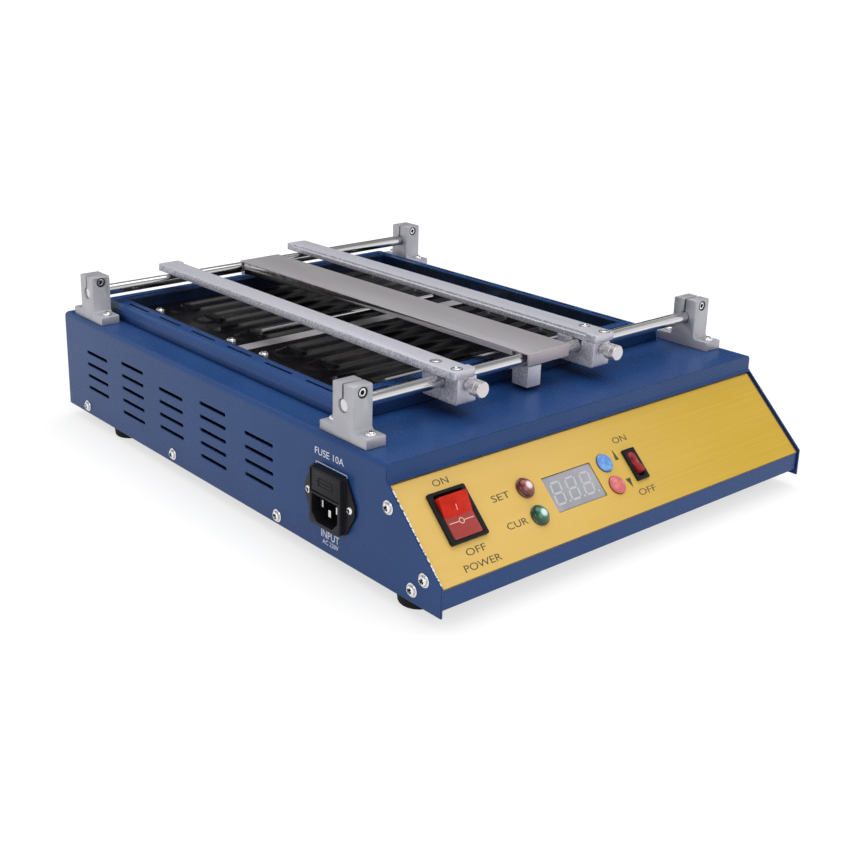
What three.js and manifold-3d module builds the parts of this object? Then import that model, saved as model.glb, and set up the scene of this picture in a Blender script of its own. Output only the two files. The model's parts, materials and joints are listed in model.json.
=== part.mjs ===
// A bench-top infrared preheating plate with a board holder that slides on two rails.
// Millimetres, +Z up, +Y to the rear. The origin is on the floor, under the centre of the housing.
import * as THREE from "three";
import { mergeVertices } from "three/addons/utils/BufferGeometryUtils.js";
import Module from "manifold-3d";

const wasm = await Module();
wasm.setup();

// Gaps and overruns
const fitGap = 0.3; // round a piece that fits in another
const seatGap = 0.1; // under a piece that rests on another
const overrun = 2; // how far a cut runs past the wall that it opens

// Housing
const housingWidth = 320;
const housingDepth = 420;
const housingHeight = 71.7;
const sideClearance = 8; // floor to the lower edge of the side panels
const sheet = 1.2;
const coverBend = 3; // outer radius of the folds between top and sides
const slopeRun = 45.6; // front face back to the front edge of the top
const slopeStart = 15.5; // both above the lower edge of the side panels
const slopeEnd = 60.65;
const cheekLip = 1.2; // how far the side panels stand proud of the sloping face

// Vents in the side panels
const ventLength = 30.4;
const ventHeight = 2.4;
const ventRowPitch = 9.07;
const ventColumnPitch = 51.5;
const ventRearMargin = 33.2; // rear edge of the housing to the first column
const ventTop = 48.9; // top slot of a four-slot column, above the side's lower edge
const ventSlotsShort = 4;
const ventSlotsLong = 5;
const ventRoundShare = 0.44; // corner radius, as a share of a slot's height

// Base pan, front panel, rear panel and feet
const panRise = 5; // pan above the lower edge of the side panels
const panFlange = 10;
const panFlangeSetback = 20.5; // front of the housing to the pan's side flanges
const panFrontSetback = 4.2;
const panRearSetback = 2;
const frontReturn = 18;
const frontTabDepth = 12;
const frontTabMargin = 6;
const rearFlange = 12;
const labelThickness = 0.8;
const labelMargin = 0.6;
const labelTopMargin = 0.8;
const footRadius = 12.5;
const footTaper = 1.2;
const footRecessRadius = 4;
const footRecessDepth = 5;
const footBevel = 1;
const footInset = 14; // side face of the housing to the middle of a foot
const footFrontSetback = 33.5;
const footRearSetback = 68;

// Raised frame round the heater window
const frameSideMargin = 22.5; // edges of the housing to the frame
const frameFrontMargin = 107;
const frameRearMargin = 17;
const frameHeight = 10;
const frameBend = 8; // rolled long edges
const windowSideRim = 15; // edges of the frame to the window
const windowFrontRim = 23;
const windowRearRim = 15;
const linerDepth = 12; // window wall below the top of the housing
const rimSlotLength = 29;
const rimSlotWidth = 2;
const rimSlotPitch = 43.8;
const rimSlotSideOffset = 5.8; // edges of the window to the middle of a row of slots
const rimSlotFrontOffset = 8.5;
const rimSlotRearOffset = 7;

// Heater plates, their tray and what lies under them
const plateRise = 1; // underside of the plates above the top of the housing
const plateSheet = 1.5;
const stripWidth = 12; // strip between the plates
const stripSheet = 1.2;
const beadRows = 7;
const beadShortRows = 3; // rows of the short run in front, the rest are the long run
const beadMargin = 4.4; // front edge of a plate to its first bead
const beadWidth = 5;
const beadHeight = 2;
const beadRound = 1.2;
const beadTurnRadius = 4;
const beadEndMargin = 35.5; // edges of the window to the turns
const beadTail = 11; // how far the short run goes on past the turns
const lobeLength = 15;
const lobeRadius = 11;
const lobeHeight = 0.8;
const plateScrewMargin = 15; // edges of the window to the screws
const plateScrewInset = 10; // front edge of a plate to its first screws
const plateScrewRearInset = 17;
const plateScrewRadius = 2.2;
const probeRadius = 1.5;
const probeMargin = 7; // turns of the beads to a probe's ends
const traySheet = 1;
const trayDepth = 36;
const trayBarThickness = 2;
const boardThickness = 10;
const micaThickness = 2;
const micaMargin = 8;

// Shaft supports, clamp screws and rails
const supportWidth = 14; // along the rail
const supportInset = 4; // side face of the housing to the support
const supportLength = 42;
const supportBase = 6;
const supportHeight = 32.8;
const supportBlock = 18;
const supportFillet = 2;
const supportSlit = 1.6;
const railHeight = 20; // rail axis above the top of the housing
const railRadius = 4;
const railClearance = 0.2;
const railEnd = 1; // how far a rail stops short of the supports' outer faces
const railFrontMargin = 88.64; // front and rear of the housing to the rails
const railRearMargin = 30;
const clampScrewHeight = 28.6;
const clampScrewRadius = 1.5;
const clampHeadRadius = 2.75;
const clampHeadLength = 3;
const clampHeadInset = 0.3; // face of the support to the head
const clampHeadGap = 0.5;
const clampSocketRadius = 1.5;
const clampSocketDepth = 1.6;

// Clamp bars, blocks and thumb screws
const barWidth = 18.5;
const barThickness = 5;
const barFrontOverhang = 15.14; // rails to the ends of the bars
const barRearOverhang = 16;
const barCornerRadius = 2.5;
const rabbetWidth = 2;
const rabbetDepth = 1.6;
const rabbetMargin = 8; // how far the rabbet stops short of the ends
const leftBarX = -78.25; // middle of each bar
const rightBarX = 42.75;
const blockWidth = 15;
const blockLength = 31;
const blockHeight = 16.2;
const blockReach = 14.64; // front of a block to the rail's axis
const blockChamfer = 1.2;
const blockOffset = 2.3; // middle of a block from the middle of its bar, towards the board
const thumbRadius = 5;
const thumbKnurls = 20;
const thumbKnurlDepth = 0.45;
const thumbHeadLength = 8.5;
const thumbReach = 13.5; // front of the screw to the front of its block
const thumbNeckRadius = 3.2;
const thumbShankRadius = 2.4;
const thumbDishRadius = 3.4;
const thumbDishDepth = 0.6;

// Support strip and its block
const carrierWidth = 36.6;
const carrierSheet = 1;
const carrierFrontOverhang = 6.84; // rails to the ends of the strip
const carrierRearOverhang = 1;
const carrierFlap = 8;
const carrierHem = 4;
const carrierHemClearance = 3; // hems stop this far short of the rails
const carrierHookWidth = 8;
const carrierX = 0.6;
const carrierSkewDegrees = 0.82;
const lugWidth = 11.5;
const lugX = -10.2;
const lugReach = 5.14; // front of the block to the rail's axis
const lugLowHeight = 13.5;
const lugClearance = 2.3; // block above the top of the housing
const lugNeck = 4; // thickness of the neck behind the rail

// Controls on the slope: from the left side of the housing, and up the slope
const powerAcross = 33.1;
const powerS = 35.9;
const heatAcross = 175.2;
const heatS = 29.5;
const displayAcross = 121.6;
const displayS = 28.8;
const displayWidth = 40.3;
const displayHeight = 21.6;
const displayRecess = 0.6;
const displayGlass = 1.6;
const displayDepth = 9;
const displayFlange = 2.5; // how far the display's flange laps the panel
const displayFlangeThickness = 1.5;
const lampAcross = 86.5;
const lampRedS = 37.7;
const lampGreenS = 20.2;
const lampRadius = 6.25;
const lampDome = 4.4;
const lampRim = 1.2;
const lampBodyRadius = 4.8;
const lampDepth = 14;
const upAcross = 152.8;
const upS = 36.3;
const downAcross = 153.1;
const capRadius = 5.8;
const capRise = 1.6; // top of a cap above the label
const capThickness = 4;
const capBevel = 0.8;
const capTravel = 1.5;
const bushWall = 0.6;
const bushLap = 0.6; // how far the bush's flange laps behind the panel
const bushFlange = 1;
const bushDepth = 11;
const stemRadius = 2;
const stemFootRadius = 3;
const stemDepth = 13;

// Rocker switches
const powerSwitch = {
  bezelThickness: 2,
  sideLap: 1.6, // how far the bezel laps over the body
  endLap: 1,
  sideWall: 1.5,
  endWall: 0.95,
  bodyDepth: 18,
  floor: 3,
  rockerWidth: 20.4,
  rockerHalf: 12.2,
  rockerRise: 4,
  rockerDip: 2,
  pivotDepth: 3,
  pinRadius: 1.5,
  pinLength: 1,
  cornerShare: 0.1, // corner radius, as a share of half the width
  tiltDegrees: 9,
};
const heatSwitch = {
  bezelThickness: 1.4,
  sideLap: 0.75,
  endLap: 0.9,
  sideWall: 1.4,
  endWall: 1.34,
  bodyDepth: 14,
  floor: 3,
  rockerWidth: 5.8,
  rockerHalf: 7,
  rockerRise: 3,
  rockerDip: 1.8,
  pivotDepth: 2,
  pinRadius: 1,
  pinLength: 0.8,
  cornerShare: 0.94,
  tiltDegrees: -10,
};
const rockerShoulderShare = 0.25; // its lower corners, as shares of its half length
const rockerHeelShare = 0.6;

// Mains inlet with fuse drawer, on the left side: along Y and Z
const inletFromFront = 93.4;
const inletRise = 35.3; // above the lower edge of the side panels
const inletProtrusion = 5;
const inletFlange = 1.5;
const inletWidth = 28.5;
const inletHeight = 34.5;
const inletCorner = 1.5;
const inletEarReach = 23;
const inletEarHalf = 3;
const inletEarTopHalf = 15.5;
const inletEarBottomHalf = 14.5;
const inletBodyWidth = 27;
const inletBodyHeight = 33;
const inletBodyDepth = 24;
const socketWidth = 24;
const socketHeight = 16.5;
const socketTop = 1; // above the inlet's middle
const socketBevel = 5;
const socketDepth = 15;
const pinPitch = 7;
const pinWidth = 2;
const pinHeight = 4;
const pinLength = 11;
const livePinZ = -5;
const earthPinZ = -9;
const drawerWidth = 26;
const drawerHeight = 13.5;
const drawerZ = 9.4; // middle of the drawer above the inlet's middle
const drawerFace = 2.2;
const drawerInset = 0.4;
const carrierBoxWidth = 22;
const carrierBoxHeight = 10;
const carrierBoxDepth = 18;
const fuseRadius = 2.5;
const fuseLength = 20;
const fuseBehindFace = 8;
const fusePocketFloor = 2;

// Inside the housing: three pieces in a row from the inlet to the right side
const relayGapShare = 0.34; // gap before each piece, as a share of the row's spare width
const transformerGapShare = 0.02;
const boardGapShare = 0.13;
const boardFromFront = 78;
const boardWidth = 112;
const boardLength = 66;
const boardSheet = 1.6;
const boardStandoff = 7;
const standoffRadius = 3;
const standoffInset = 6;
const relayHeight = 14;
const relaySize = 18;
const transformerFromFront = 82;
const coreWidth = 44;
const coreLength = 20;
const coreHeight = 36;
const bobbinWidth = 28;
const bobbinLength = 36;
const bobbinMargin = 7;
const footplateWidth = 58;
const footplateThickness = 2;
const solidRelayFromFront = 88;
const solidRelayWidth = 45;
const solidRelayLength = 58;
const solidRelayHeight = 22;
const solidRelayStep = 7;
const solidRelayShoulder = 12;
const terminalFromSide = 42;
const terminalFromFront = 40;
const terminalWidth = 50;
const terminalLength = 18;
const terminalHeight = 14;
const terminalWays = 5;
const terminalWall = 1.4;
const terminalSlotDepth = 6;

// Round shapes: steps in a full circle, in a fold and in a corner
const roundSteps = 20;
const fineSteps = 28;
const smallSteps = 12;
const smallestSteps = 8;
const hexagonSteps = 6;
const domeSteps = 5;
const foldSteps = 5;
const cornerSteps = 3;
const edgeSteps = 2;

// Tolerances of the outline and mesh helpers
const weldDistance = 1e-4;
const straightAngle = 1e-3;

// Places worked out from the sizes
const halfWidth = housingWidth / 2;
const front = -housingDepth / 2;
const rear = housingDepth / 2;
const topZ = sideClearance + housingHeight;
const slopeAngle = Math.atan2(slopeEnd - slopeStart, slopeRun);
const slopeLength = Math.hypot(slopeRun, slopeEnd - slopeStart);
const slopeZ = sideClearance + slopeStart;
const lipY = front + slopeRun;
const lipZ = sideClearance + slopeEnd;
const innerHalf = halfWidth - sheet - fitGap;
const panZ = sideClearance + panRise;
const panTop = panZ + sheet;
const panelFace = -labelThickness - 2 * seatGap; // front panel's face, below the label's
const frameHalfWidth = halfWidth - frameSideMargin;
const frameFront = front + frameFrontMargin;
const frameRear = rear - frameRearMargin;
const windowHalfWidth = frameHalfWidth - windowSideRim;
const windowFront = frameFront + windowFrontRim;
const windowRear = frameRear - windowRearRim;
const plateBottom = topZ + plateRise;
const plateTop = plateBottom + plateSheet;
const trayHalf = windowHalfWidth - fitGap;
const trayFront = windowFront + fitGap;
const trayRear = windowRear - fitGap;
const trayTop = plateBottom - fitGap;
const trayFloor = trayTop - trayDepth;
const plateLength = (windowRear - windowFront - stripWidth) / 2;
const plateStarts = { front: windowFront, rear: windowRear - plateLength };
const beadPitch = plateLength / beadRows;
const beadHalfLength = windowHalfWidth - beadEndMargin;
const railFrontY = front + railFrontMargin;
const railRearY = rear - railRearMargin;
const railZ = topZ + railHeight;
const barBottom = railZ + railRadius + seatGap;
const blockFront = railFrontY - blockReach;
const powerX = powerAcross - halfWidth;
const heatX = heatAcross - halfWidth;
const displayX = displayAcross - halfWidth;
const lampX = lampAcross - halfWidth;
const upX = upAcross - halfWidth;
const downX = downAcross - halfWidth;
const bushRadius = capRadius + fitGap + bushWall;
const bushFlangeRadius = bushRadius + bushLap;
const downS = upS - 2 * bushFlangeRadius - fitGap;
const wallX = -halfWidth; // left side face, which carries the inlet
const inletY = front + inletFromFront;
const inletZ = sideClearance + inletRise;
const rowStart = wallX + inletBodyDepth;
const rowSpare = innerHalf - rowStart - solidRelayWidth - footplateWidth - boardWidth;
const solidRelayX = rowStart + rowSpare * relayGapShare + solidRelayWidth / 2;
const transformerLeft = solidRelayX + solidRelayWidth / 2 + rowSpare * transformerGapShare;
const transformerX = transformerLeft + footplateWidth / 2;
const boardX = transformerLeft + footplateWidth + rowSpare * boardGapShare + boardWidth / 2;
const boardY = front + boardFromFront;
const transformerY = front + transformerFromFront;
const solidRelayY = front + solidRelayFromFront;
const terminalX = wallX + terminalFromSide;
const terminalY = front + terminalFromFront;

const blue = new THREE.MeshStandardMaterial({ color: 0x2f4f8f, roughness: 0.35, metalness: 0.1 });
const yellow = new THREE.MeshStandardMaterial({ color: 0xe0bb55, roughness: 0.4, metalness: 0.3 });
const steel = new THREE.MeshStandardMaterial({ color: 0xb9bcc0, roughness: 0.3, metalness: 0.9 });
const chrome = new THREE.MeshStandardMaterial({ color: 0xd0d2d6, roughness: 0.12, metalness: 1 });
const aluminium = new THREE.MeshStandardMaterial({ color: 0xc6c9cf, roughness: 0.45, metalness: 0.8 });
const enamel = new THREE.MeshStandardMaterial({ color: 0x17181b, roughness: 0.25, metalness: 0.1 });
const rubber = new THREE.MeshStandardMaterial({ color: 0x151515, roughness: 0.85, metalness: 0 });
const blackPlastic = new THREE.MeshStandardMaterial({ color: 0x1c1a1e, roughness: 0.5, metalness: 0 });
const redPlastic = new THREE.MeshStandardMaterial({ color: 0xc8201a, roughness: 0.25, metalness: 0 });
const greenPlastic = new THREE.MeshStandardMaterial({ color: 0x1a7a45, roughness: 0.2, metalness: 0 });
const bluePlastic = new THREE.MeshStandardMaterial({ color: 0x3c7fd0, roughness: 0.35, metalness: 0 });
const coralPlastic = new THREE.MeshStandardMaterial({ color: 0xe0604f, roughness: 0.4, metalness: 0 });
const greyWindow = new THREE.MeshStandardMaterial({ color: 0x9a9ba0, roughness: 0.3, metalness: 0 });
const circuit = new THREE.MeshStandardMaterial({ color: 0x1d5b36, roughness: 0.5, metalness: 0 });
const mineral = new THREE.MeshStandardMaterial({ color: 0xd8d0bd, roughness: 0.9, metalness: 0 });
const glass = new THREE.MeshStandardMaterial({ color: 0xdfe6e6, roughness: 0.1, metalness: 0 });

const part = new THREE.Group();

// The slope's own frame: X across, Y up the slope, Z straight out of the label
const slope = new THREE.Group();
slope.position.set(0, front, slopeZ);
slope.rotation.x = slopeAngle;
slope.updateMatrix();
part.add(slope);

// A closed geometry as a solid that can be joined and cut
function solid(geometry) {
  const bare = geometry.index ? geometry.toNonIndexed() : geometry.clone();
  bare.deleteAttribute("normal");
  bare.deleteAttribute("uv");
  const merged = mergeVertices(bare, weldDistance);
  const corners = merged.index.array;
  const kept = [];
  for (let i = 0; i < corners.length; i += 3) {
    const [a, b, c] = corners.slice(i, i + 3);
    if (a !== b && b !== c && c !== a) kept.push(a, b, c);
  }
  return new wasm.Manifold(
    new wasm.Mesh({
      numProp: 3,
      vertProperties: merged.attributes.position.array,
      triVerts: new Uint32Array(kept),
    }),
  );
}

function join(...solids) {
  return wasm.Manifold.union(solids);
}

function cut(base, ...tools) {
  return base.subtract(wasm.Manifold.union(tools));
}

// A named mesh made from a solid
function add(name, body, material, parent = part) {
  const made = body.getMesh();
  const geometry = new THREE.BufferGeometry();
  geometry.setAttribute("position", new THREE.BufferAttribute(made.vertProperties, made.numProp));
  geometry.setIndex(new THREE.BufferAttribute(made.triVerts, 1));
  geometry.computeVertexNormals();
  const mesh = new THREE.Mesh(geometry, material);
  mesh.name = name;
  parent.add(mesh);
  return mesh;
}

// Outlines are lists of points [u, v]
function rectangle(u0, u1, v0, v1) {
  return [
    [u0, v0],
    [u1, v0],
    [u1, v1],
    [u0, v1],
  ];
}

// A rectangle by its middle and its two sizes
function centred(u, v, width, height) {
  return rectangle(u - width / 2, u + width / 2, v - height / 2, v + height / 2);
}

function circle(u, v, radius, steps = roundSteps) {
  return Array.from({ length: steps }, (_, i) => {
    const turn = (2 * Math.PI * i) / steps;
    return [u + radius * Math.cos(turn), v + radius * Math.sin(turn)];
  });
}

// The points of one corner, rounded to a radius
function corner(before, at, after, radius, steps) {
  const here = new THREE.Vector2(...at);
  const back = new THREE.Vector2(...before).sub(here).normalize();
  const on = new THREE.Vector2(...after).sub(here).normalize();
  const half = Math.acos(THREE.MathUtils.clamp(back.dot(on), -1, 1)) / 2;
  if (radius === 0 || half > Math.PI / 2 - straightAngle) return [at];
  const middle = back.clone().add(on).normalize().multiplyScalar(radius / Math.sin(half)).add(here);
  const first = back.clone().multiplyScalar(radius / Math.tan(half)).add(here).sub(middle);
  const last = on.clone().multiplyScalar(radius / Math.tan(half)).add(here).sub(middle);
  const sweep = Math.atan2(first.cross(last), first.dot(last));
  return Array.from({ length: steps + 1 }, (_, i) => {
    const point = first.clone().rotateAround(new THREE.Vector2(), (sweep * i) / steps).add(middle);
    return [point.x, point.y];
  });
}

// A closed outline with its corners rounded: one radius, or one for each corner
function rounded(points, radius, steps = cornerSteps) {
  const count = points.length;
  return points.flatMap((point, i) => {
    const own = Array.isArray(radius) ? radius[i] : radius;
    return corner(points[(i + count - 1) % count], point, points[(i + 1) % count], own, steps);
  });
}

// An open path with its corners rounded
function roundedPath(points, radius, steps = cornerSteps) {
  return points.flatMap((point, i) =>
    i === 0 || i === points.length - 1
      ? [point]
      : corner(points[i - 1], point, points[i + 1], radius, steps),
  );
}

// A path moved sideways, to its left, with mitred corners
function shifted(path, distance) {
  const points = path.map((point) => new THREE.Vector2(...point));
  return points.map((point, i) => {
    const into = point.clone().sub(points[Math.max(i - 1, 0)]);
    const out = points[Math.min(i + 1, points.length - 1)].clone().sub(point);
    if (i === 0) into.copy(out);
    if (i === points.length - 1) out.copy(into);
    into.normalize();
    out.normalize();
    const normal = new THREE.Vector2(-into.y - out.y, into.x + out.x).normalize();
    const mitre = distance / normal.dot(new THREE.Vector2(-into.y, into.x));
    return [point.x + normal.x * mitre, point.y + normal.y * mitre];
  });
}

// A sheet folded along a path, seen edge on: the path is one face, the other lies to its left
function foldedSheet(path, thickness) {
  return [...path, ...shifted(path, thickness).reverse()];
}

// A band of one width along a path
function band(path, width) {
  return [...shifted(path, -width / 2), ...shifted(path, width / 2).reverse()];
}

// Outlines drawn in a plane and run along an axis: "x" takes (Y, Z), "y" takes (X, Z), "z" takes (X, Y)
const along = {
  x: new THREE.Matrix4().makeBasis(
    new THREE.Vector3(0, 1, 0),
    new THREE.Vector3(0, 0, 1),
    new THREE.Vector3(1, 0, 0),
  ),
  y: new THREE.Matrix4().makeBasis(
    new THREE.Vector3(1, 0, 0),
    new THREE.Vector3(0, 0, 1),
    new THREE.Vector3(0, -1, 0),
  ),
  z: new THREE.Matrix4(),
};

function prismGeometry(points, axis, from, to, edge = {}) {
  const shape = new THREE.Shape(points.map((point) => new THREE.Vector2(...point)));
  const geometry = new THREE.ExtrudeGeometry(shape, {
    depth: to - from,
    bevelEnabled: false,
    ...edge,
  });
  geometry.translate(0, 0, axis === "y" ? -to : from);
  return geometry.applyMatrix4(along[axis]);
}

function prism(points, axis, from, to) {
  return solid(prismGeometry(points, axis, from, to));
}

function block(x0, x1, y0, y1, z0, z1) {
  return prism(rectangle(x0, x1, y0, y1), "z", z0, z1);
}

// A prism drawn on the slope and moved into the part's frame
function slopePrism(points, from, to) {
  return solid(prismGeometry(points, "z", from, to).applyMatrix4(slope.matrix));
}

// A turned piece: radii and heights from the lower end of the axis to the upper, standing along Z
function turned(profile, steps = roundSteps) {
  const points = profile.map(([radius, height]) => new THREE.Vector2(radius, height));
  return solid(new THREE.LatheGeometry(points, steps).rotateX(Math.PI / 2));
}

// Cover: top, sides and the lip over the front panel
function ventOutlines() {
  const outlines = [];
  const room = rear - ventRearMargin - inletY - inletEarReach;
  const columns = 1 + Math.floor((room - ventLength) / ventColumnPitch);
  for (let column = 0; column < columns; column += 1) {
    const long = column % 2 === 1;
    const slots = long ? ventSlotsLong : ventSlotsShort;
    const top = sideClearance + ventTop + (long ? ventRowPitch / 2 : 0);
    const end = rear - ventRearMargin - column * ventColumnPitch;
    for (let row = 0; row < slots; row += 1) {
      const z = top - row * ventRowPitch;
      const slot = rectangle(end - ventLength, end, z - ventHeight / 2, z + ventHeight / 2);
      outlines.push(rounded(slot, ventHeight * ventRoundShare, edgeSteps));
    }
  }
  return outlines;
}

function coverBody() {
  const cheekRise = cheekLip / Math.cos(slopeAngle);
  const side = [
    [front, sideClearance],
    [rear, sideClearance],
    [rear, topZ],
    [lipY, topZ],
    [lipY, lipZ + cheekRise],
    [front, slopeZ + cheekRise],
  ];
  const inside = [
    [front - overrun, sideClearance - overrun],
    [rear + overrun, sideClearance - overrun],
    [rear + overrun, topZ - sheet],
    [lipY + sheet, topZ - sheet],
    [lipY + sheet, lipZ],
    [front - overrun, lipZ],
  ];
  const bends = [0, 0, coverBend, coverBend];
  const innerBends = [0, 0, coverBend - sheet, coverBend - sheet];
  const skin = halfWidth - sheet;
  const outer = prism(side, "x", -halfWidth, halfWidth).intersect(
    prism(
      rounded(rectangle(-halfWidth, halfWidth, sideClearance, topZ), bends),
      "y",
      front,
      rear,
    ),
  );
  const inner = prism(inside, "x", -skin, skin).intersect(
    prism(
      rounded(rectangle(-skin, skin, sideClearance - overrun, topZ - sheet), innerBends),
      "y",
      front - overrun,
      rear + overrun,
    ),
  );
  const vents = ventOutlines().map((outline) =>
    prism(outline, "x", -halfWidth - overrun, halfWidth + overrun),
  );
  const hole = windowHalfWidth + sheet + fitGap;
  const heaterHole = block(
    -hole,
    hole,
    windowFront - sheet - fitGap,
    windowRear + sheet + fitGap,
    topZ - sheet - overrun,
    topZ + overrun,
  );
  const inletHole = prism(
    inletOutline(inletBodyWidth + 2 * fitGap, inletBodyHeight + 2 * fitGap, inletCorner),
    "x",
    wallX - overrun,
    wallX + sheet + overrun,
  );
  return cut(cut(outer, inner), ...vents, heaterHole, inletHole);
}

// Base pan with its side flanges
function basePan() {
  const y1 = rear - panRearSetback;
  const flangeStart = front + panFlangeSetback;
  const outline = [
    [-innerHalf, panZ + panFlange],
    [-innerHalf, panZ],
    [innerHalf, panZ],
    [innerHalf, panZ + panFlange],
  ];
  const apron = rectangle(-innerHalf, innerHalf, panZ, panTop);
  return join(
    prism(foldedSheet(outline, sheet), "y", flangeStart, y1),
    prism(apron, "y", front + panFrontSetback, flangeStart + sheet),
  );
}

// Front panel: return under the pan, lower strip, slope, and a flange behind the cover's lip
function frontPanel() {
  const faceY = front + cheekLip;
  const backY = lipY + sheet + fitGap;
  const baseZ = panZ - seatGap - sheet;
  const rise = Math.tan(slopeAngle);
  const startY = front - panelFace * Math.sin(slopeAngle);
  const startZ = slopeZ + panelFace * Math.cos(slopeAngle);
  const path = [
    [faceY + frontReturn, baseZ],
    [faceY, baseZ],
    [faceY, startZ + (faceY - startY) * rise],
    [backY, startZ + (backY - startY) * rise],
    [backY, topZ - sheet - fitGap],
  ];
  const folded = prism(foldedSheet(path, -sheet), "x", -innerHalf, innerHalf);
  const tabs = [-innerHalf, innerHalf - sheet].map((x) =>
    slopePrism(
      rectangle(x, x + sheet, frontTabMargin, slopeLength - frontTabMargin),
      panelFace - frontTabDepth,
      panelFace - sheet / 2,
    ),
  );
  const bend = coverBend - sheet;
  const topCorners = prism(
    rounded(rectangle(-innerHalf, innerHalf, 0, topZ - sheet - fitGap), [0, 0, bend, bend]),
    "y",
    front - overrun,
    rear,
  );
  const holes = controlHoles(panelFace - sheet - overrun, overrun, bushRadius);
  return cut(join(folded, ...tabs).intersect(topCorners), ...holes);
}

// The holes that the controls pass through, between two heights over the label's face
function controlHoles(from, to, buttonRadius) {
  const switchHole = (x, s, spec) => {
    const sizes = switchSizes(spec);
    return centred(x, s, sizes.bodyWidth + 2 * fitGap, sizes.bodyLength + 2 * fitGap);
  };
  const holes = [
    switchHole(powerX, powerS, powerSwitch),
    switchHole(heatX, heatS, heatSwitch),
    displayOutline(fitGap),
    circle(lampX, lampRedS, lampBodyRadius + fitGap),
    circle(lampX, lampGreenS, lampBodyRadius + fitGap),
    circle(upX, upS, buttonRadius + fitGap),
    circle(downX, downS, buttonRadius + fitGap),
  ];
  return holes.map((outline) => slopePrism(outline, from, to));
}

function displayOutline(grow) {
  return centred(displayX, displayS, displayWidth + 2 * grow, displayHeight + 2 * grow);
}

function labelPlate() {
  const half = innerHalf - labelMargin;
  const blank = slopePrism(
    rectangle(-half, half, labelMargin, slopeLength - labelTopMargin),
    -labelThickness,
    0,
  );
  return cut(blank, ...controlHoles(-labelThickness - overrun, overrun, capRadius));
}

// Rear panel: a shallow tray that stands on the pan inside the cover
function rearPanel() {
  const y1 = rear - fitGap;
  const y0 = y1 - rearFlange;
  const z0 = panTop + seatGap;
  const z1 = topZ - sheet - fitGap;
  const half = innerHalf - sheet - fitGap;
  return cut(
    block(-half, half, y0, y1, z0, z1),
    block(-half + sheet, half - sheet, y0 - overrun, y1 - sheet, z0 + sheet, z1 - sheet),
  );
}

function foot() {
  const height = panZ - seatGap;
  return turned([
    [0, footRecessDepth],
    [footRecessRadius, footRecessDepth],
    [footRecessRadius, 0],
    [footRadius - footTaper - footBevel, 0],
    [footRadius - footTaper, footBevel],
    [footRadius, height],
    [0, height],
  ]);
}

// Heater frame: rolled long edges, flat ends, a slotted rim and the wall that lines the window
function frameShell(inset) {
  const half = frameHalfWidth - inset;
  const top = topZ + frameHeight - inset;
  const bend = frameBend - inset;
  const bottom = inset > 0 ? topZ - overrun : topZ + seatGap;
  const section = rounded(rectangle(-half, half, bottom, top), [0, 0, bend, bend], foldSteps);
  return prism(section, "y", frameFront + inset, frameRear - inset);
}

function rimSlots() {
  const slots = [];
  const reach = rimSlotLength / 2;
  const half = rimSlotWidth / 2;
  const places = (from, to) => {
    const count = Math.floor((to - from) / rimSlotPitch);
    return Array.from(
      { length: count },
      (_, i) => (from + to) / 2 + (i - (count - 1) / 2) * rimSlotPitch,
    );
  };
  const sideX = windowHalfWidth + rimSlotSideOffset;
  for (const y of places(frameFront, frameRear)) {
    for (const x of [-sideX, sideX])
      slots.push(rectangle(x - half, x + half, y - reach, y + reach));
  }
  for (const x of places(-frameHalfWidth, frameHalfWidth)) {
    for (const y of [windowFront - rimSlotFrontOffset, windowRear + rimSlotRearOffset])
      slots.push(rectangle(x - reach, x + reach, y - half, y + half));
  }
  const rim = topZ + frameHeight;
  return slots.map((slot) => prism(slot, "z", rim - sheet - overrun, rim + overrun));
}

function heaterFrame() {
  const rim = topZ + frameHeight;
  const bottom = topZ - linerDepth;
  const wall = (grow, z0, z1) =>
    block(
      -windowHalfWidth - grow,
      windowHalfWidth + grow,
      windowFront - grow,
      windowRear + grow,
      z0,
      z1,
    );
  const shell = cut(frameShell(0), frameShell(sheet));
  const lined = join(shell, wall(sheet, bottom, rim));
  return cut(lined, wall(0, bottom - overrun, rim + overrun), ...rimSlots());
}

// Heater tray with the bar that carries the strip between the plates
function heaterTray() {
  const inner = trayHalf - traySheet;
  const open = cut(
    block(-trayHalf, trayHalf, trayFront, trayRear, trayFloor, trayTop),
    block(
      -inner,
      inner,
      trayFront + traySheet,
      trayRear - traySheet,
      trayFloor + traySheet,
      trayTop + overrun,
    ),
  );
  const barY = plateStarts.rear - stripWidth / 2;
  const bar = block(
    -inner - traySheet / 2,
    inner + traySheet / 2,
    barY - stripWidth,
    barY + stripWidth,
    trayTop - trayBarThickness,
    trayTop,
  );
  return join(open, bar);
}

function insulationBoard() {
  const gap = traySheet + fitGap;
  return block(
    -trayHalf + gap,
    trayHalf - gap,
    trayFront + gap,
    trayRear - gap,
    trayFloor + traySheet + seatGap,
    trayFloor + traySheet + seatGap + boardThickness,
  );
}

// Serpentine beads: two runs on each plate, each from its first row to its last
const beadRuns = [
  [0, beadShortRows - 1],
  [beadShortRows, beadRows - 1],
];

function beadRowY(start, row) {
  return start + beadMargin + row * beadPitch;
}

// The middle lines of the runs, which set out to the left and close by turns on both sides
function beadPaths(start) {
  const paths = beadRuns.map(([first, last]) => {
    const path = [];
    for (let row = first; row <= last; row += 1) {
      const from = (row - first) % 2 === 0 ? beadHalfLength : -beadHalfLength;
      path.push([from, beadRowY(start, row)], [-from, beadRowY(start, row)]);
    }
    return path;
  });
  const tail = paths[0][paths[0].length - 1];
  tail[0] -= beadTail;
  return paths;
}

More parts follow.
